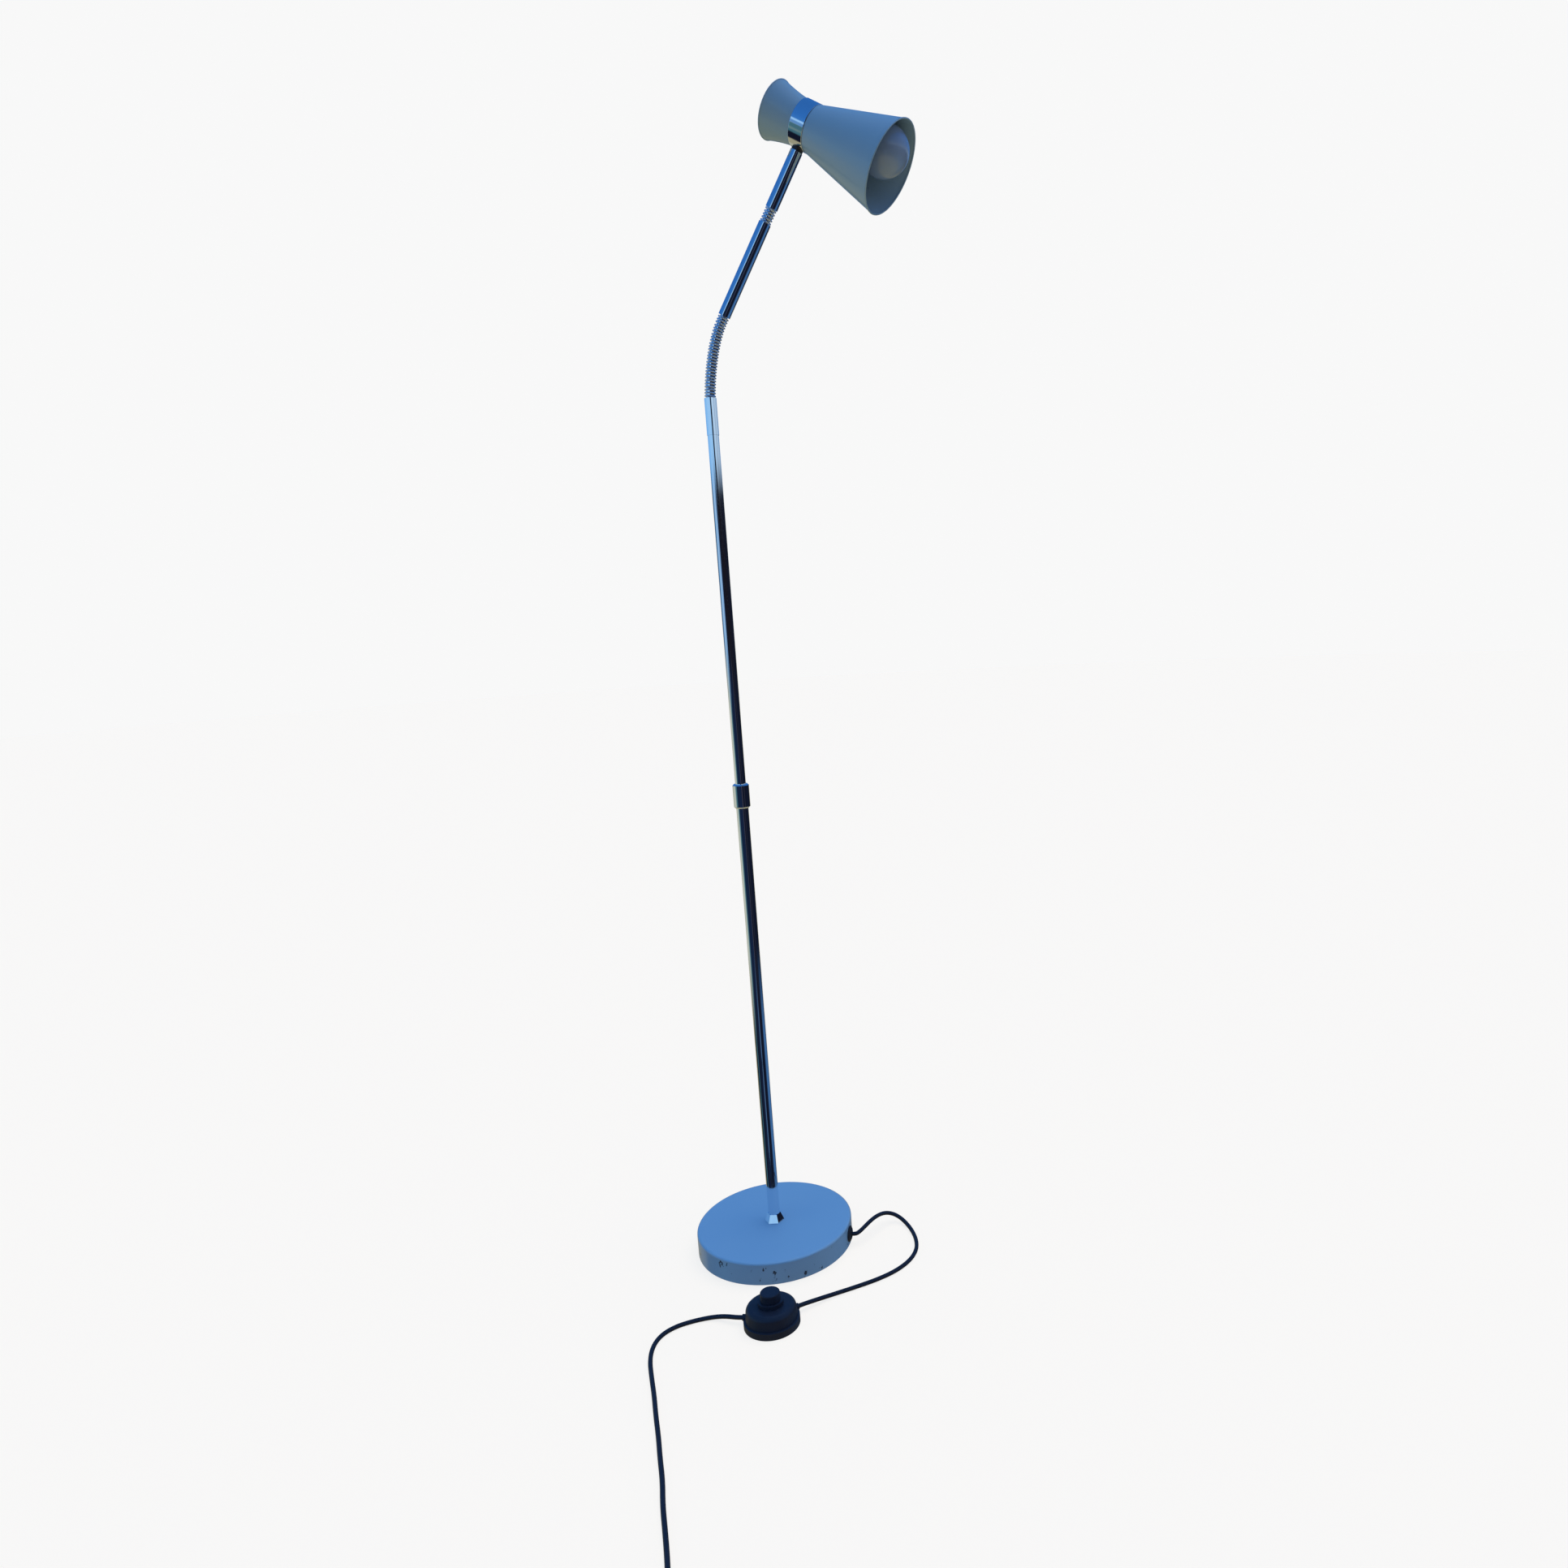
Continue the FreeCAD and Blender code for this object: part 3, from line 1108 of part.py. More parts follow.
def make_lead_to_coil():
    """Cord from the switch to the coil."""
    points = [
        switch_exit(SWITCH_OUT_AZIMUTH, SWITCH_BOSS_REACH),
        switch_exit(SWITCH_OUT_AZIMUTH, SWITCH_BOSS_REACH + CORD_STUB),
        *[from_exit(*point) for point in TO_COIL],
        coil_point(-COIL_TURN_RADIUS, 0, COIL_LIFT + COIL_ENTRY_RISE),
    ]
    return cord_tube("lead_to_coil", points)


def coil_point(x, y, height):
    """Point measured from the middle of the coil, its height from the floor."""
    return from_exit(COIL_AT[0] + x, COIL_AT[1] + y, height)


def coil_ring(gap):
    """Outer shape of the bundle of turns, or a slightly larger one."""
    inner = COIL_TURN_RADIUS - COIL_BUNDLE_WIDTH / 2 - gap
    outer = COIL_TURN_RADIUS + COIL_BUNDLE_WIDTH / 2 + gap
    return ring(outer, inner, COIL_LIFT - gap, COIL_LIFT + COIL_BUNDLE_HEIGHT + gap)


def make_lead_coil():
    """The wound length of cord as one ring."""
    body = coil_ring(0)
    body = body.makeFillet(COIL_EDGE_RADIUS, [e for e in body.Edges if isinstance(e.Curve, Part.Circle)])
    return placed(body, Placement(coil_point(0, 0, 0), Rotation()))


def make_cord_tie():
    """Flat band round the bundle."""
    clear = ASSEMBLY_GAP
    band = coil_ring(clear + TIE_THICKNESS).cut(coil_ring(clear))
    slab = Part.makeBox(2 * COIL_TURN_RADIUS, TIE_WIDTH, BASE_HEIGHT, Vector(0, -TIE_WIDTH / 2, 0))
    band = band.common(slab)
    return placed(band, Placement(coil_point(0, 0, 0), Rotation(UP, TIE_AZIMUTH)))


def make_lead_end():
    """Last stretch of cord, from the coil to the plug."""
    points = [
        coil_point(COIL_EXIT_RUN, -COIL_TURN_RADIUS, COIL_LIFT + COIL_BUNDLE_HEIGHT - COIL_EXIT_DROP),
        *[from_exit(*point) for point in TO_PLUG],
        from_exit(*PLUG_AT, PLUG_HEIGHT / 2),
    ]
    return cord_tube("lead_end", points)


def make_plug_body():
    """Flat two-pin plug with a tapered strain relief."""
    body = Part.makeBox(PLUG_LENGTH, PLUG_WIDTH, PLUG_HEIGHT, Vector(0, -PLUG_WIDTH / 2, 0))
    upright = [e for e in body.Edges if abs(e.tangentAt(e.FirstParameter).z) > 0.9]
    back = [e for e in upright if e.CenterOfMass.x < 1]
    body = body.makeChamfer((PLUG_WIDTH - PLUG_NOSE_WIDTH) / 2, back)
    long_edges = [e for e in body.Edges if abs(e.tangentAt(e.FirstParameter).x) > 0.9]
    body = body.makeFillet(PLUG_EDGE_RADIUS, long_edges)
    cone = Part.makeCone(CORD_RADIUS + PLUG_RELIEF_WALL, PLUG_HEIGHT / 2 - 0.5, PLUG_RELIEF + 1,
                         Vector(-PLUG_RELIEF, 0, PLUG_HEIGHT / 2), Vector(1, 0, 0))
    body = body.fuse(cone)
    for side in (-1, 1):
        root = Vector(PLUG_LENGTH - PIN_ROOT, side * PIN_SPACING / 2, PLUG_HEIGHT / 2)
        body = body.cut(Part.makeCylinder(PIN_RADIUS + SEAT_GAP, PLUG_LENGTH, root, Vector(1, 0, 0)))
    return placed(body, Placement(from_exit(PLUG_AT[0] + PLUG_RELIEF, PLUG_AT[1]), Rotation()))


def make_plug_pins():
    """Two round pins."""
    pins = []
    for side in (-1, 1):
        root = Vector(PLUG_LENGTH - PIN_ROOT, side * PIN_SPACING / 2, PLUG_HEIGHT / 2)
        pins.append(Part.makeCylinder(PIN_RADIUS, PIN_ROOT + PIN_LENGTH, root, Vector(1, 0, 0)))
    pins = Part.makeCompound(pins)
    return placed(pins, Placement(from_exit(PLUG_AT[0] + PLUG_RELIEF, PLUG_AT[1]), Rotation()))


MAKERS = [
    make_base_cover, make_ballast_disc, make_bottom_plate, make_base_screws, make_felt_pad,
    make_cord_grommet, make_cord_clip, make_lead_in_base, make_stem_tube, make_cone_nut,
    make_lock_nut, make_tube_plug, make_lower_tube, make_collar_bush, make_collar_nut,
    make_collet, make_guide_bush, make_upper_tube, make_lead_in_mast, make_neck_ferrule,
    make_arm_sleeve, make_wrist_link, make_tip_sleeve, make_lead_in_arm, make_swivel_stud,
    make_swivel_knuckle, make_swivel_nut, make_head_band, make_front_shade, make_rear_shade,
    make_rear_vent_disc, make_holder_plate, make_holder_bolt, make_holder_cap,
    make_holder_shell, make_lamp_socket, make_bulb_cap, make_bulb_globe, make_lead_in_head,
]
CORD_MAKERS = [
    make_switch_cover, make_switch_base, make_switch_screws, make_switch_block,
    make_switch_button, make_lead_to_switch, make_lead_to_coil, make_lead_coil, make_cord_tie,
    make_lead_end, make_plug_body, make_plug_pins,
]


def main():
    """Write every node."""
    os.makedirs("parts", exist_ok=True)
    for maker in MAKERS + CORD_MAKERS:
        save(maker.__name__.replace("make_", ""), maker())
    for index, link in enumerate(make_neck_links()):
        save(f"neck_link_{index + 1:02d}", link)


main()
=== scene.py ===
# %% [markdown]
# # A floor lamp with a waisted shade, a ribbed gooseneck and a foot switch
# The lamp's solids come from a imported model that is loaded as a fixed frame: every piece is in
# metres, with the floor at height 0 and the mast's axis at x = 0, y = 0. This file adds what a
# solid can't show: real finishes and a flexible cord. The cells are in the order in which the
# pieces are made, and each one prints what it made.

# %% Load the frame
import json
import math

import bpy
import numpy as np
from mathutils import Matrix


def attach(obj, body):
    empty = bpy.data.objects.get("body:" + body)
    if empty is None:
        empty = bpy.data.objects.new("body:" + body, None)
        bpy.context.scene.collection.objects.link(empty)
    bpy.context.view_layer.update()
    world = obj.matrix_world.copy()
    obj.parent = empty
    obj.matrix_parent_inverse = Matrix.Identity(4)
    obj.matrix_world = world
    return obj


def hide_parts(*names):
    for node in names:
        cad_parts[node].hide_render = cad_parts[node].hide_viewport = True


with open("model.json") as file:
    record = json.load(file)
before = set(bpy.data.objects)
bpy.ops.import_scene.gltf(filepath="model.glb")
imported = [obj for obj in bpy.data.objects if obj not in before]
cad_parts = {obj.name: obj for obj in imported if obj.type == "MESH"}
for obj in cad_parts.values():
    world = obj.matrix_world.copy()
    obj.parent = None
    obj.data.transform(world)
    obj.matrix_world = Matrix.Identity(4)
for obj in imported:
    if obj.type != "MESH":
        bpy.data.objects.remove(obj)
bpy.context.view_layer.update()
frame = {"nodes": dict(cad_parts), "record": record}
NODES = frame["nodes"]
MM = 0.001

# %% [markdown]
# ## Camera
# The viewer stands in front of the lamp, a little to its right, and holds the camera about as
# high as a table lamp's shade. The lens is wide, so the base is seen from above and the shade
# from below, and the mast leans. A small sideways shift of the lens keeps the lamp near the
# middle of the picture without turning the camera, which would change the perspective.

# %% Camera
EYE = (0.2530, -1.4633, 0.8719)
LOOK_DOWN = math.radians(9.10)
ROLL = math.radians(-2.92)
view = bpy.data.cameras.new("view")
view.lens = 25.85
view.sensor_width = 36
view.shift_x = -0.0952
camera = bpy.data.objects.new("view", view)
bpy.context.scene.collection.objects.link(camera)
camera.rotation_mode = "XYZ"
turn = Matrix.Rotation(math.pi / 2 - LOOK_DOWN, 4, "X") @ Matrix.Rotation(ROLL, 4, "Z")
camera.matrix_world = Matrix.Translation(EYE) @ turn
bpy.context.scene.camera = camera
print("camera at", EYE, "looking down", round(math.degrees(LOOK_DOWN), 1), "degrees")

# %% [markdown]
# ## Cord
# The cord leaves the base through a grommet, makes a loose loop, goes through the foot switch
# and away over the floor. A flexible cord has one smooth centre line, so each stretch is one
# NURBS spline: its points pull the line towards them, as pegs beside a rope would, and the
# line rounds every corner by itself. A mesh tube would need hundreds of rings for the same
# curve. The spare length is wound into a neat coil with its plug beside it.

# %% Cord sizes and routes
CORD_RADIUS = 2.75 * MM
EXIT = (108.62, -19.15)  # where the cord leaves the grommet; the routes are measured from it
TO_SWITCH = [
    (0.0, 0.0, 15.6), (5.91, -1.04, 15.6), (10.9, 3.2, 16.8), (17.4, 11.7, 18.6),
    (24.4, 22.7, 20.0), (32.4, 34.7, 20.0), (40.4, 45.2, 17.8), (47.9, 51.2, 15.0),
    (56.9, 53.7, 11.0), (65.9, 49.7, 7.2), (73.9, 40.2, 4.4), (82.4, 23.2, 2.8), (88.9, -1.8, 2.8),
    (89.4, -26.8, 2.8), (80.4, -51.3, 2.8), (62.4, -73.3, 2.8), (37.9, -90.8, 2.8),
    (8.4, -105.8, 2.8), (-17.6, -119.3, 3.6), (-35.1, -131.3, 6.0), (-53.56, -144.28, 8.5),
    (-58.65, -147.46, 8.5),
]
TO_COIL = [
    (-126.05, -164.89, 8.5), (-132.04, -164.58, 8.5), (-147.6, -158.3, 6.6), (-160.6, -154.3, 4.2),
    (-175.6, -154.8, 2.8), (-193.1, -160.3, 2.8), (-210.1, -168.8, 2.8), (-223.6, -183.3, 2.8),
    (-229.1, -203.8, 2.8), (-226.6, -229.8, 2.8), (-217.1, -260.3, 2.8), (-206.6, -291.8, 2.8),
    (-197.1, -324.3, 2.8), (-186.6, -356.8, 2.8), (-177.6, -388.3, 2.8), (-167.6, -420.3, 2.8),
    (-160.1, -452.3, 2.8), (-150.6, -483.8, 2.8), (-141.6, -514.8, 2.8), (-134.1, -543.8, 3.6),
    (-128.6, -568.8, 4.0),
]
TO_PLUG = [
    (-77.6, -620.8, 12.0), (-63.6, -619.8, 8.6), (-50.6, -617.8, 6.8),
]


def metres(points):
    """Route points, measured from the cord's exit, in the lamp's frame and in metres."""
    return [((x + EXIT[0]) * MM, (y + EXIT[1]) * MM, z * MM) for x, y, z in points]


# %% [markdown]
# ### Coil of the spare length
# A real coil isn't a spiral: each turn lies flat beside or on the last one, and the cord steps
# over to the next turn in a short stretch. So the coil is written as a list of steps, each with
# the angle at which it begins, and the radius and the height are sums of those steps.

# %% Coil of spare cord
COIL_CENTRE = ((EXIT[0] - 92.6) * MM, (EXIT[1] - 587.8) * MM)
COIL_TURNS = 5.25
POINTS_PER_TURN = 24
COIL_START = 180  # degrees; where the first turn begins
STEP_ANGLE = 35  # degrees that a step takes
FIRST_RADIUS = 31.0  # millimetres, as are the sizes below
FIRST_HEIGHT = 4.4
BESIDE = 5.8  # from one turn to the turn beside it
ABOVE = 5.5  # from one turn to the turn on top of it
RADIUS_STEPS = (
    (180, BESIDE / 2), (500, -BESIDE), (1140, BESIDE), (1780, -BESIDE), (2020, BESIDE / 2),
)
HEIGHT_STEPS = ((180, -0.5), (820, ABOVE), (1460, ABOVE))


def eased(angle, start, change):
    """0 before the start angle, the change once the step is over, and 3t^2 - 2t^3 between."""
    t = np.clip((angle - start) / STEP_ANGLE, 0, 1)
    return change * t * t * (3 - 2 * t)


def stepped(angle, first, steps):
    """The first value plus every step that the angle has reached."""
    value = np.full(angle.shape, first)
    for start, change in steps:
        value = value + eased(angle, start, change)
    return value


def coil_points():
    """Turns two wide and three high: x = r cos a and y = r sin a round the coil's centre. The
    angle a grows evenly. The radius r and the height stay the same for most of a turn and step
    by one cord's thickness where the next turn begins."""
    count = int(COIL_TURNS * POINTS_PER_TURN)
    angle = COIL_START + np.arange(1, count) * 360 / POINTS_PER_TURN
    radius = stepped(angle, FIRST_RADIUS, RADIUS_STEPS)
    height = stepped(angle, FIRST_HEIGHT, HEIGHT_STEPS)
    turned = np.radians(angle)
    x = COIL_CENTRE[0] + radius * MM * np.cos(turned)
    y = COIL_CENTRE[1] + radius * MM * np.sin(turned)
    return [tuple(point) for point in np.stack([x, y, height * MM], axis=1).tolist()]


print("coil points", len(coil_points()))


# %% Cord splines
STEPS_PER_POINT = 8
ROUNDNESS = 5


def spline_cord(name, points):
    """A round cord along one NURBS spline. The order is set once the points are there. Each
    point holds the radius and the bevel only carries it, because the box round a curve grows
    by its points' radius."""
    line = bpy.data.curves.new(name, "CURVE")
    line.dimensions = "3D"
    spline = line.splines.new("NURBS")
    spline.points.add(len(points) - 1)
    for place, point in zip(spline.points, points):
        place.co = (*point, 1)
        place.radius = CORD_RADIUS
    spline.order_u = 3
    spline.use_endpoint_u = True
    line.resolution_u = STEPS_PER_POINT
    line.bevel_depth = 1.0
    line.bevel_resolution = ROUNDNESS
    line.use_fill_caps = True
    piece = bpy.data.objects.new(name, line)
    bpy.context.scene.collection.objects.link(piece)
    return piece


def centre_length(piece):
    """Length of the spline's own line: the same curve without its thickness, measured."""
    bare = piece.copy()
    bare.data = piece.data.copy()
    bare.data.bevel_depth = 0
    bpy.context.scene.collection.objects.link(bare)
    mesh = bpy.data.meshes.new_from_object(bare)
    along = np.empty(len(mesh.vertices) * 3)
    mesh.vertices.foreach_get("co", along)
    steps = np.diff(along.reshape(-1, 3), axis=0)
    bpy.data.objects.remove(bare)
    return float(np.linalg.norm(steps, axis=1).sum())


cord_to_switch = spline_cord("cord_to_switch", metres(TO_SWITCH))
cord_to_plug = spline_cord("cord_to_plug", metres(TO_COIL) + coil_points() + metres(TO_PLUG))
for piece in (cord_to_switch, cord_to_plug):
    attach(piece, "base")
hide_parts("lead_to_switch")
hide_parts("lead_to_coil", "lead_coil", "lead_end")
print("to the switch", round(centre_length(cord_to_switch), 3))
print("to the plug", round(centre_length(cord_to_plug), 3))

# %% [markdown]
# ## Stage and light
# The floor is a wide pale disc under a pale dome, and both glow a little by themselves, so that
# the floor stays pale and the lamp's soft shadow stays faint. Polished metal shows whatever
# stands round it. So the stage is hidden from reflections, and the world behind it is painted
# like the place that such a lamp is looked at in: a deep blue sky that is pale above the
# horizon, dark things at eye level with a bright blue side at the left, and warm ground below.
# Four large soft lamps, which the metal doesn't show, give the light and the shape.

# %% Stage
bpy.context.scene.view_settings.view_transform = "Standard"
FLOOR_TONE = (0.30, 0.19, 0.125, 1)
FLOOR_GLOW = 0.80
DOME_GLOW = 0.94
FLOOR_RADIUS = 14
DOME_RADIUS = 13.5


def stage_material(name, tone, glow):
    """Matt paint with an even glow of its own."""
    material = bpy.data.materials.new(name)
    material.use_nodes = True
    shader = material.node_tree.nodes["Principled BSDF"]
    shader.inputs["Base Color"].default_value = tone
    shader.inputs["Roughness"].default_value = 1.0
    shader.inputs["Specular IOR Level"].default_value = 0.0
    shader.inputs["Emission Color"].default_value = (1, 1, 1, 1)
    shader.inputs["Emission Strength"].default_value = glow
    return material


def disc_mesh(name, radius, sides=96):
    """Flat round face at height 0: x = r cos a and y = r sin a, at even angles a."""
    angle = np.linspace(0, 2 * math.pi, sides, endpoint=False)
    points = np.stack([radius * np.cos(angle), radius * np.sin(angle), np.zeros(sides)], axis=1)
    mesh = bpy.data.meshes.new(name)
    mesh.from_pydata(points.tolist(), [], [list(range(sides))])
    return mesh


floor = bpy.data.objects.new("floor", disc_mesh("floor", FLOOR_RADIUS))
floor.data.materials.append(stage_material("floor_paint", FLOOR_TONE, FLOOR_GLOW))
bpy.context.scene.collection.objects.link(floor)
bpy.ops.mesh.primitive_uv_sphere_add(segments=64, ring_count=32, radius=DOME_RADIUS)
dome = bpy.context.object
dome.name = "dome"
dome.data.materials.append(stage_material("dome_paint", (0, 0, 0, 1), DOME_GLOW))
for piece in (floor, dome):
    piece.visible_glossy = False
    piece.visible_diffuse = False
    piece.visible_shadow = False
    piece.visible_transmission = False
print("floor and dome placed")

# %% [markdown]
# ### What the chrome reflects
# Each list below is one layer of the surroundings, with the share of the way round the horizon
# and the tone there. A share of 0.5 lies in front of the lamp, where the viewer stands. The
# layers are stacked by height, from the ground to the sky, and fade into each other.

# %% Surroundings that light the lamp and show in its metal
BLUE = (0.030, 0.16, 0.50)
DARK = (0.006, 0.009, 0.022)
WARM = (0.36, 0.34, 0.22)
PALE = (0.34, 0.62, 0.95)
SKY = [(0.20, (0.045, 0.20, 0.56)), (0.50, BLUE), (1.00, (0.028, 0.14, 0.44))]
ABOVE_LEVEL = [
    (0.00, BLUE), (0.08, (0.16, 0.40, 0.80)), (0.16, (0.20, 0.50, 0.90)), (0.36, PALE),
    (0.49, PALE), (0.505, DARK), (0.555, DARK), (0.57, (0.45, 0.64, 0.85)),
    (0.66, (0.52, 0.70, 0.88)), (0.70, (0.28, 0.40, 0.55)), (0.74, (0.50, 0.66, 0.84)),
    (0.88, (0.30, 0.45, 0.62)), (1.00, BLUE),
]
EYE_LEVEL = [
    (0.00, (0.10, 0.12, 0.12)), (0.12, (0.03, 0.07, 0.14)), (0.22, (0.10, 0.25, 0.45)),
    (0.26, (0.30, 0.52, 0.78)), (0.33, (0.40, 0.60, 0.82)), (0.36, (0.10, 0.26, 0.55)),
    (0.39, (0.32, 0.52, 0.80)), (0.405, DARK), (0.55, (0.010, 0.009, 0.014)), (0.88, DARK),
    (0.93, (0.05, 0.06, 0.07)), (1.00, (0.10, 0.12, 0.12)),
]
BELOW_EYES = [
    (0.00, WARM), (0.13, (0.50, 0.52, 0.42)), (0.27, (0.55, 0.58, 0.50)),
    (0.30, (0.22, 0.32, 0.30)),
    (0.325, (0.06, 0.16, 0.20)), (0.35, (0.06, 0.16, 0.20)), (0.37, (0.008, 0.018, 0.05)),
    (0.53, (0.008, 0.018, 0.05)), (0.55, DARK), (0.558, (0.13, 0.12, 0.16)), (0.568, DARK),
    (0.64, DARK), (0.65, (0.05, 0.05, 0.06)), (0.66, DARK), (0.90, DARK), (1.00, WARM),
]
NEAR_FLOOR = [
    (0.00, WARM), (0.17, WARM), (0.19, DARK), (0.265, DARK), (0.28, (0.05, 0.15, 0.19)),
    (0.305, (0.05, 0.15, 0.19)), (0.32, DARK), (0.49, (0.008, 0.016, 0.045)),
    (0.53, (0.10, 0.20, 0.38)), (0.55, DARK), (0.69, DARK), (0.72, (0.05, 0.14, 0.32)),
    (0.84, (0.06, 0.17, 0.38)), (0.93, (0.02, 0.05, 0.12)), (1.00, WARM),
]
world = bpy.data.worlds.new("surroundings")
bpy.context.scene.world = world
world.use_nodes = True
tree = world.node_tree
tree.nodes.clear()


def world_node(kind, **settings):
    """New node of the world's shader with its settings."""
    node = tree.nodes.new(kind)
    for name, value in settings.items():
        setattr(node, name, value)
    return node


def world_ramp(value, stops):
    """Colour band over a value, with a list of places and tones."""
    ramp = world_node("ShaderNodeValToRGB")
    while len(ramp.color_ramp.elements) < len(stops):
        ramp.color_ramp.elements.new(0.5)
    for element, (place, tone) in zip(ramp.color_ramp.elements, stops):
        element.position = place
        element.color = (*tone, 1)
    tree.links.new(value, ramp.inputs[0])
    return ramp.outputs[0]


def world_mix(factor, first, second):
    """One colour where the factor is 0 and the other where it is 1."""
    mix = world_node("ShaderNodeMix", data_type="RGBA")
    tree.links.new(factor, mix.inputs["Factor"])
    tree.links.new(first, mix.inputs["A"])
    if isinstance(second, tuple):
        mix.inputs["B"].default_value = (*second, 1)
    else:
        tree.links.new(second, mix.inputs["B"])
    return mix.outputs["Result"]


direction = world_node("ShaderNodeTexCoord")
parts = world_node("ShaderNodeSeparateXYZ")
tree.links.new(direction.outputs["Generated"], parts.inputs[0])
toward = world_node("ShaderNodeMath", operation="MULTIPLY")
toward.inputs[1].default_value = -1
tree.links.new(parts.outputs["Y"], toward.inputs[0])
compass = world_node("ShaderNodeMath", operation="ARCTAN2")
tree.links.new(parts.outputs["X"], compass.inputs[0])
tree.links.new(toward.outputs[0], compass.inputs[1])
share = world_node("ShaderNodeMapRange")
share.inputs["From Min"].default_value = -math.pi
share.inputs["From Max"].default_value = math.pi
tree.links.new(compass.outputs[0], share.inputs["Value"])


def from_height(start, end):
    """0 at the start height of the direction and 1 at the end height, with even change between."""
    step = world_node("ShaderNodeMapRange")
    step.inputs["From Min"].default_value = start
    step.inputs["From Max"].default_value = end
    tree.links.new(parts.outputs["Z"], step.inputs["Value"])
    return step.outputs[0]


LAYERS = (
    (-0.36, -0.29, BELOW_EYES), (-0.08, -0.02, EYE_LEVEL), (0.10, 0.13, ABOVE_LEVEL),
)
SKY_BEGINS = (0.19, 0.25)
GROUND_BEGINS = (-0.58, -0.66)
painted = world_ramp(share.outputs[0], NEAR_FLOOR)
for start, end, stops in LAYERS:
    painted = world_mix(from_height(start, end), painted, world_ramp(share.outputs[0], stops))
painted = world_mix(from_height(*SKY_BEGINS), painted, world_ramp(parts.outputs["Z"], SKY))
everything = world_mix(from_height(*GROUND_BEGINS), painted, WARM)
background = world_node("ShaderNodeBackground")
tree.links.new(everything, background.inputs[0])
tree.links.new(background.outputs[0], world_node("ShaderNodeOutputWorld").inputs[0])
print("surroundings with", len(LAYERS) + 3, "layers")


# %% Lights
def sun(name, strength, tone, softness, elevation, azimuth):
    """Even light from a direction: azimuth from +x towards +y and elevation, in degrees."""
    light = bpy.data.lights.new(name, "SUN")
    light.energy = strength
    light.color = tone
    light.angle = math.radians(softness)
    lamp = bpy.data.objects.new(name, light)
    bpy.context.scene.collection.objects.link(lamp)
    lamp.rotation_euler = (0, math.radians(90 - elevation), math.radians(azimuth))
    lamp.visible_glossy = False


sun("soft_key", 1.55, (0.76, 0.95, 1.0), 60, 74, 40)
sun("side_light", 0.52, (1.0, 0.92, 0.74), 60, 4, 350)
sun("bounce", 0.70, (1.0, 0.82, 0.50), 100, -55, 245)
sun("front_fill", 0.46, (0.40, 0.80, 1.0), 70, 38, 225)

# %% [markdown]
# ## Finishes
# Every finish is made of shader nodes that read Object coordinates, in metres, so a pattern
# keeps its real size and stays on its piece. One small helper makes each kind of node, and the
# finish then reads like a recipe: a tone that varies, a roughness that varies, a fine bump.


# %% Material helpers
def finish(name, **values):
    """New material with its main shader's own sockets set."""
    material = bpy.data.materials.new(name)
    material.use_nodes = True
    shader = material.node_tree.nodes["Principled BSDF"]
    for socket, value in values.items():
        shader.inputs[socket.replace("_", " ")].default_value = value
    return material


def shader_of(material):
    """The material's main shader."""
    return material.node_tree.nodes["Principled BSDF"]


def noise(material, scale, detail=3.0, stretch=(1, 1, 1)):
    """Cloudy value from 0 to 1, with about `scale` blobs in a metre."""
    nodes = material.node_tree
    place = nodes.nodes.new("ShaderNodeTexCoord")
    mapping = nodes.nodes.new("ShaderNodeMapping")
    mapping.inputs["Scale"].default_value = stretch
    nodes.links.new(place.outputs["Object"], mapping.inputs[0])
    cloud = nodes.nodes.new("ShaderNodeTexNoise")
    cloud.inputs["Scale"].default_value = scale
    cloud.inputs["Detail"].default_value = detail
    nodes.links.new(mapping.outputs[0], cloud.inputs["Vector"])
    return cloud.outputs["Fac"]


def between(material, value, low, high, start=0.0, end=1.0):
    """Value carried evenly from the range start to end onto the range low to high."""
    nodes = material.node_tree
    carry = nodes.nodes.new("ShaderNodeMapRange")
    carry.inputs["From Min"].default_value = start
    carry.inputs["From Max"].default_value = end
    carry.inputs["To Min"].default_value = low
    carry.inputs["To Max"].default_value = high
    nodes.links.new(value, carry.inputs["Value"])
    return carry.outputs[0]


def mixed(material, factor, first, second):
    """One colour where the factor is 0 and the other where it is 1."""
    nodes = material.node_tree
    mix = nodes.nodes.new("ShaderNodeMix")
    mix.data_type = "RGBA"
    for socket, tone in (("A", first), ("B", second)):
        if isinstance(tone, tuple):
            mix.inputs[socket].default_value = (*tone, 1)
        else:
            nodes.links.new(tone, mix.inputs[socket])
    nodes.links.new(factor, mix.inputs["Factor"])
    return mix.outputs["Result"]


def times(material, first, second):
    """Product of two values."""
    nodes = material.node_tree
    product = nodes.nodes.new("ShaderNodeMath")
    product.operation = "MULTIPLY"
    nodes.links.new(first, product.inputs[0])
    nodes.links.new(second, product.inputs[1])
    return product.outputs[0]


def bumped(material, height, depth):
    """Small relief of a depth in metres."""
    nodes = material.node_tree
    bump = nodes.nodes.new("ShaderNodeBump")
    bump.inputs["Distance"].default_value = depth
    bump.inputs["Strength"].default_value = 1.0
    nodes.links.new(height, bump.inputs["Height"])
    nodes.links.new(bump.outputs[0], shader_of(material).inputs["Normal"])


def feed(material, socket, value):
    """Link a value or colour to one of the main shader's sockets."""
    material.node_tree.links.new(value, shader_of(material).inputs[socket])


def height_of(material):
    """Height above the floor, in metres."""
    nodes = material.node_tree
    place = nodes.nodes.new("ShaderNodeTexCoord")
    parts = nodes.nodes.new("ShaderNodeSeparateXYZ")
    nodes.links.new(place.outputs["Object"], parts.inputs[0])
    return parts.outputs["Z"]


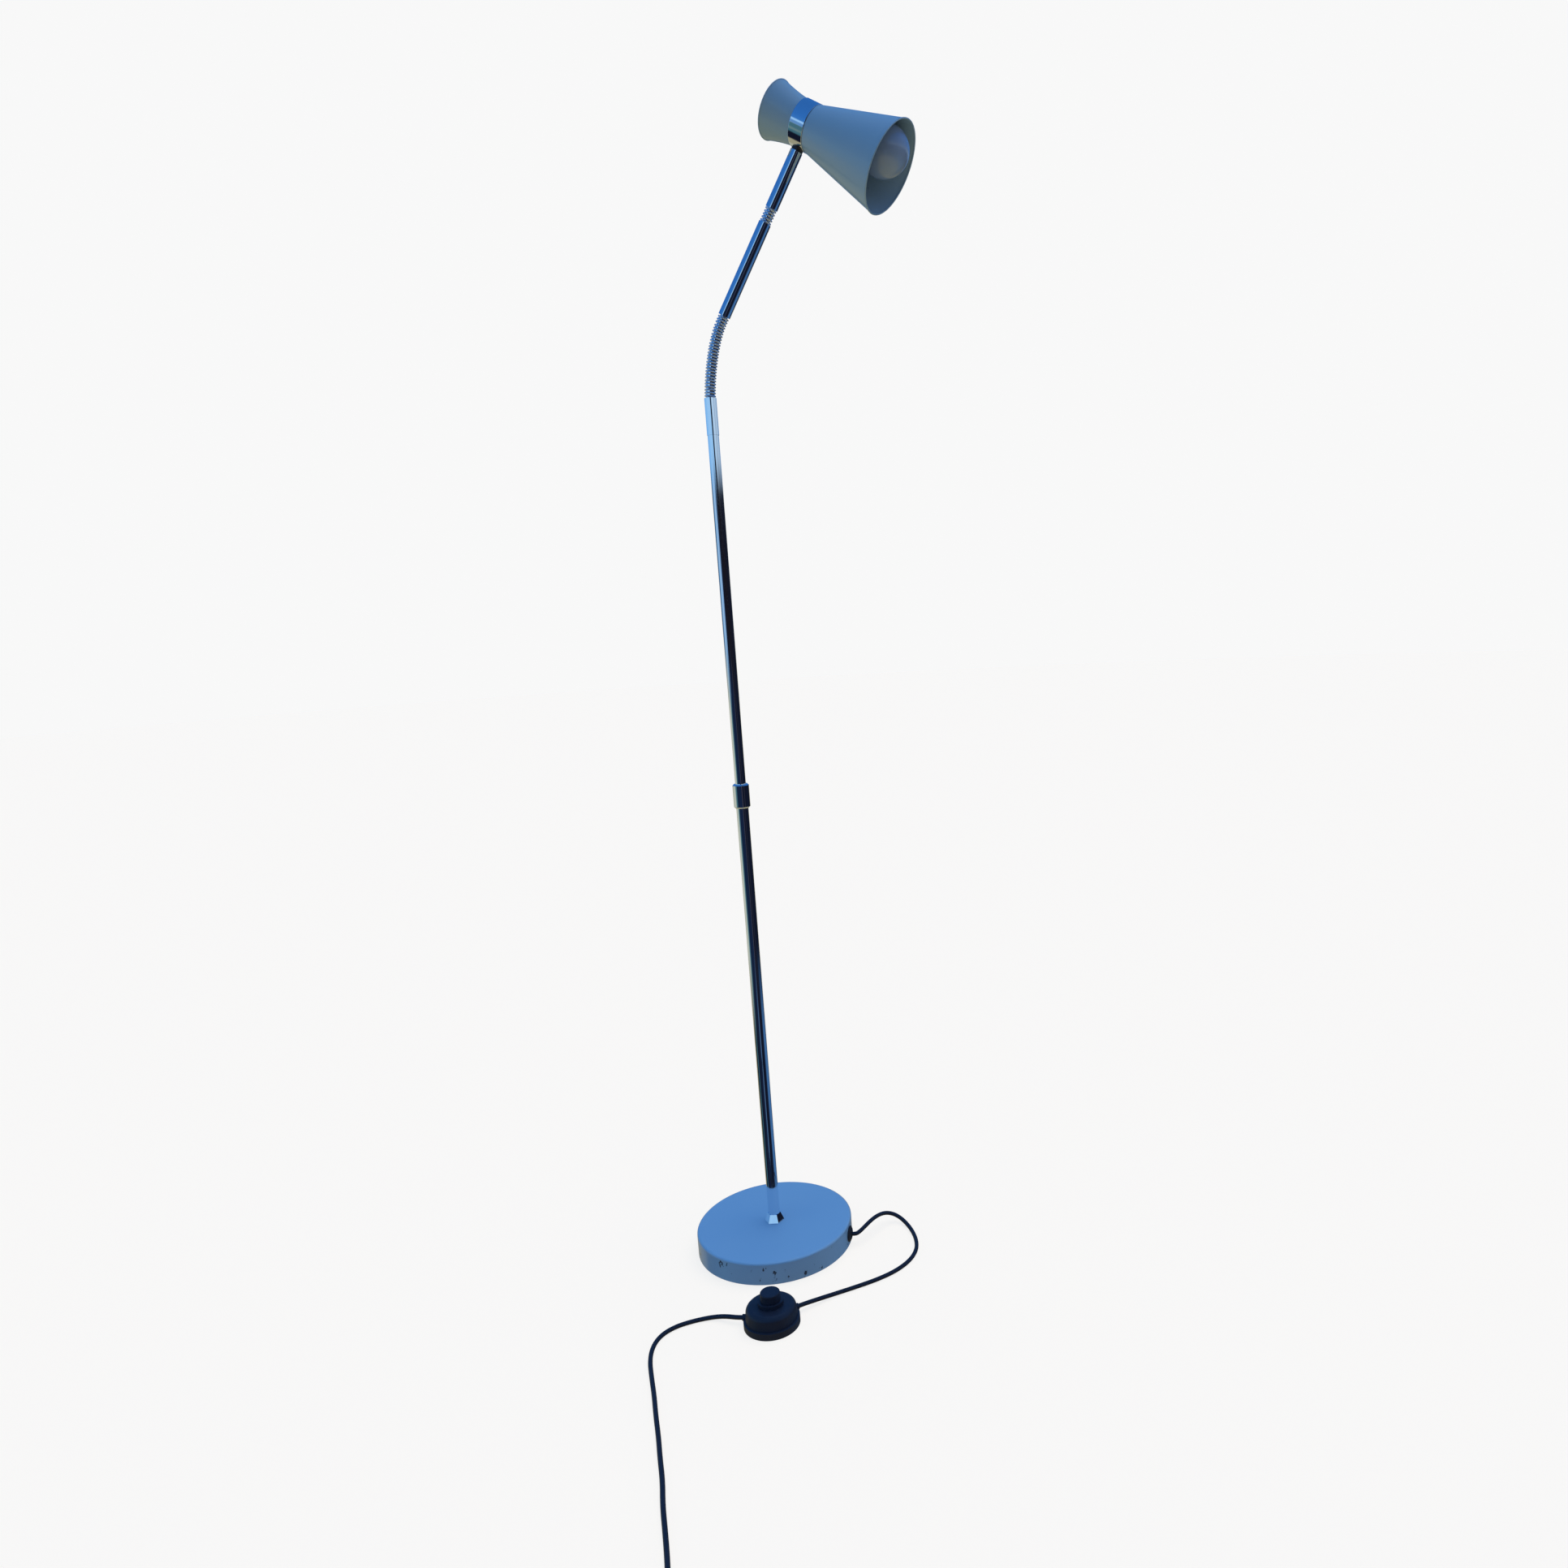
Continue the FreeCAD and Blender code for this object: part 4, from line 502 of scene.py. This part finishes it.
def cloudy(name, tones, tone_scale, gloss, gloss_scale, relief=None, detail=3.0, **values):
    """Finish whose tone and roughness vary in clouds, with a relief of (scale, detail, depth)."""
    material = finish(name, **values)
    feed(material, "Base Color", mixed(material, noise(material, tone_scale, detail), *tones))
    feed(material, "Roughness", between(material, noise(material, gloss_scale), *gloss))
    if relief:
        bumped(material, noise(material, *relief[:2]), relief[2])
    return material


print("helpers ready")

# %% [markdown]
# ### Enamel
# The base and the shades are sheet steel with baked enamel: a pale blue-grey, half glossy, and
# very slightly uneven like the skin of an orange. On the base's side the enamel has small
# chips that show dark steel, where feet and vacuum cleaners have knocked it.

# %% Enamel of the base and of the shades
BASE_BLUE = (0.20, 0.35, 0.54)
BASE_BLUE_WORN = (0.23, 0.38, 0.55)
SHADE_BLUE = (0.21, 0.35, 0.50)
SHADE_BLUE_PALE = (0.24, 0.37, 0.49)
CHIP_STEEL = (0.03, 0.045, 0.07)
CHIP_EDGE = 0.015
RIM_LOW, RIM_HIGH = 0.0275, 0.0290  # heights between which the chips stop, under the top's edge
ORANGE_PEEL = (700, 2.0, 0.00002)


def chips(material, scale, start, stretch):
    """1 inside small ragged spots and 0 elsewhere: where a fine cloud is far above its mean."""
    return between(material, noise(material, scale, 6.0, stretch), 0, 1, start, start + CHIP_EDGE)


base_enamel = finish("base_enamel_paint", Coat_Weight=0.5, Coat_Roughness=0.05)
low_part = between(base_enamel, height_of(base_enamel), 1, 0, RIM_LOW, RIM_HIGH)
spots = times(base_enamel, chips(base_enamel, 130, 0.655, (1, 1, 0.5)), low_part)
tone = mixed(base_enamel, noise(base_enamel, 14), BASE_BLUE, BASE_BLUE_WORN)
feed(base_enamel, "Base Color", mixed(base_enamel, spots, tone, CHIP_STEEL))
feed(base_enamel, "Roughness", between(base_enamel, noise(base_enamel, 60), 0.26, 0.38))
bumped(base_enamel, noise(base_enamel, *ORANGE_PEEL[:2]), ORANGE_PEEL[2])

shade_enamel = cloudy("shade_enamel_paint", (SHADE_BLUE, SHADE_BLUE_PALE), 18, (0.32, 0.44), 50,
                      relief=ORANGE_PEEL, Coat_Weight=0.35, Coat_Roughness=0.08)
print("enamels", base_enamel.name, shade_enamel.name)

# %% [markdown]
# ### Chrome
# Chrome plating is a mirror with a cold tint. What makes it look like metal is that it isn't
# perfect: the gloss changes softly, and very fine wiping marks run along the tube.

# %% Chrome
chrome = finish("chrome_plating", Metallic=1.0)
feed(chrome, "Base Color",
     mixed(chrome, noise(chrome, 40), (0.80, 0.84, 0.90), (0.88, 0.90, 0.93)))
feed(chrome, "Roughness", between(chrome, noise(chrome, 300, 2.0, (1, 1, 0.05)), 0.03, 0.09))
print("chrome", chrome.name)

# %% [markdown]
# ### Black parts
# The cord is smooth vinyl, the switch is a moulded plastic with a fine grain, and the grommet is
# softer, duller rubber. Real black is never quite black, so each one moves between two very dark
# tones, and the difference between them comes mostly from how rough they are.

# %% Black parts
cord_vinyl = cloudy("cord_vinyl", ((0.006, 0.007, 0.016), (0.012, 0.014, 0.028)), 50,
                    (0.40, 0.60), 120, relief=(2500, 2.0, 0.00002))
switch_plastic = cloudy("switch_plastic", ((0.006, 0.008, 0.018), (0.014, 0.017, 0.032)), 45,
                        (0.38, 0.58), 70, relief=(1800, 3.0, 0.00004))
grommet_rubber = cloudy("grommet_rubber", ((0.008, 0.008, 0.012), (0.02, 0.02, 0.025)), 90,
                        (0.55, 0.75), 200, relief=(3000, 2.0, 0.00003))
black_enamel = cloudy("black_enamel", ((0.008, 0.008, 0.01), (0.02, 0.02, 0.024)), 60,
                      (0.25, 0.45), 150)
phenolic = cloudy("holder_moulding", ((0.01, 0.01, 0.012), (0.03, 0.03, 0.032)), 70,
                  (0.2, 0.4), 110)
print("black finishes made")

# %% [markdown]
# ### Bare metals, felt, nylon and opal glass
# Most of these are inside the lamp or under it. They are finished all the same, because the
# lamp can be taken apart. The bulb is white opal glass that isn't lit. Its tone is painted shade
# and painted reflection: a dark blue-grey in place of the white glass, for the shade inside the
# lampshade and the blue of the shade round it. It has a clear gloss on its skin and a little
# light inside the glass.

# %% Bare metals, felt, nylon and opal glass
iron = cloudy("cast_iron", ((0.05, 0.05, 0.055), (0.12, 0.11, 0.10)), 120,
              (0.6, 0.85), 300, relief=(900, 4.0, 0.0002), Metallic=0.6)
zinc = cloudy("zinc_plate", ((0.50, 0.52, 0.55), (0.66, 0.68, 0.70)), 150,
              (0.28, 0.5), 400, Metallic=1.0)
brass = cloudy("turned_brass", ((0.55, 0.38, 0.14), (0.72, 0.54, 0.26)), 150,
               (0.22, 0.42), 500, Metallic=1.0)
aluminium = cloudy("cap_aluminium", ((0.62, 0.63, 0.64), (0.8, 0.8, 0.8)), 150,
                   (0.25, 0.45), 500, Metallic=1.0)
felt = cloudy("felt_cloth", ((0.02, 0.025, 0.03), (0.07, 0.08, 0.09)), 700,
              (0.9, 1.0), 300, relief=(2200, 5.0, 0.0004), detail=5.0,
              Sheen_Weight=0.4, Sheen_Roughness=0.5)
nylon = cloudy("nylon", ((0.72, 0.72, 0.68), (0.82, 0.82, 0.78)), 100, (0.4, 0.55), 200)
# The bulb's two tones are painted shade and painted reflection of the blue shade round it, not the
# white of the glass.
opal = cloudy("opal_glass", ((0.17, 0.26, 0.43), (0.23, 0.31, 0.47)), 30,
              (0.18, 0.3), 80, Coat_Weight=0.6, Coat_Roughness=0.04, Subsurface_Weight=0.3)
shader_of(opal).inputs["Subsurface Radius"].default_value = (0.004, 0.004, 0.004)
print("metals, felt, nylon and opal glass made")

# %% [markdown]
# ### Which solid wears which finish
# The model's record names a finish for each solid, so one table from those names to the
# materials paints the whole lamp, and a solid that is added later is painted too.

# %% Finish of each solid
FINISHES = {
    "base_enamel": base_enamel,
    "shade_enamel": shade_enamel,
    "chrome": chrome,
    "black_fitting": black_enamel,
    "switch_black": switch_plastic,
    "cord_black": cord_vinyl,
    "grommet_black": grommet_rubber,
    "bush_white": nylon,
    "holder_black": phenolic,
    "iron": iron,
    "zinc_steel": zinc,
    "felt": felt,
    "brass": brass,
    "cap_aluminium": aluminium,
    "opal_glass": opal,
}


def paint(piece, material):
    """One material on the whole piece."""
    piece.data.materials.clear()
    piece.data.materials.append(material)


for part in frame["record"]["subparts"]:
    paint(NODES[part["node"]], FINISHES[part["material_slot"]])
for piece in (cord_to_switch, cord_to_plug):
    paint(piece, cord_vinyl)
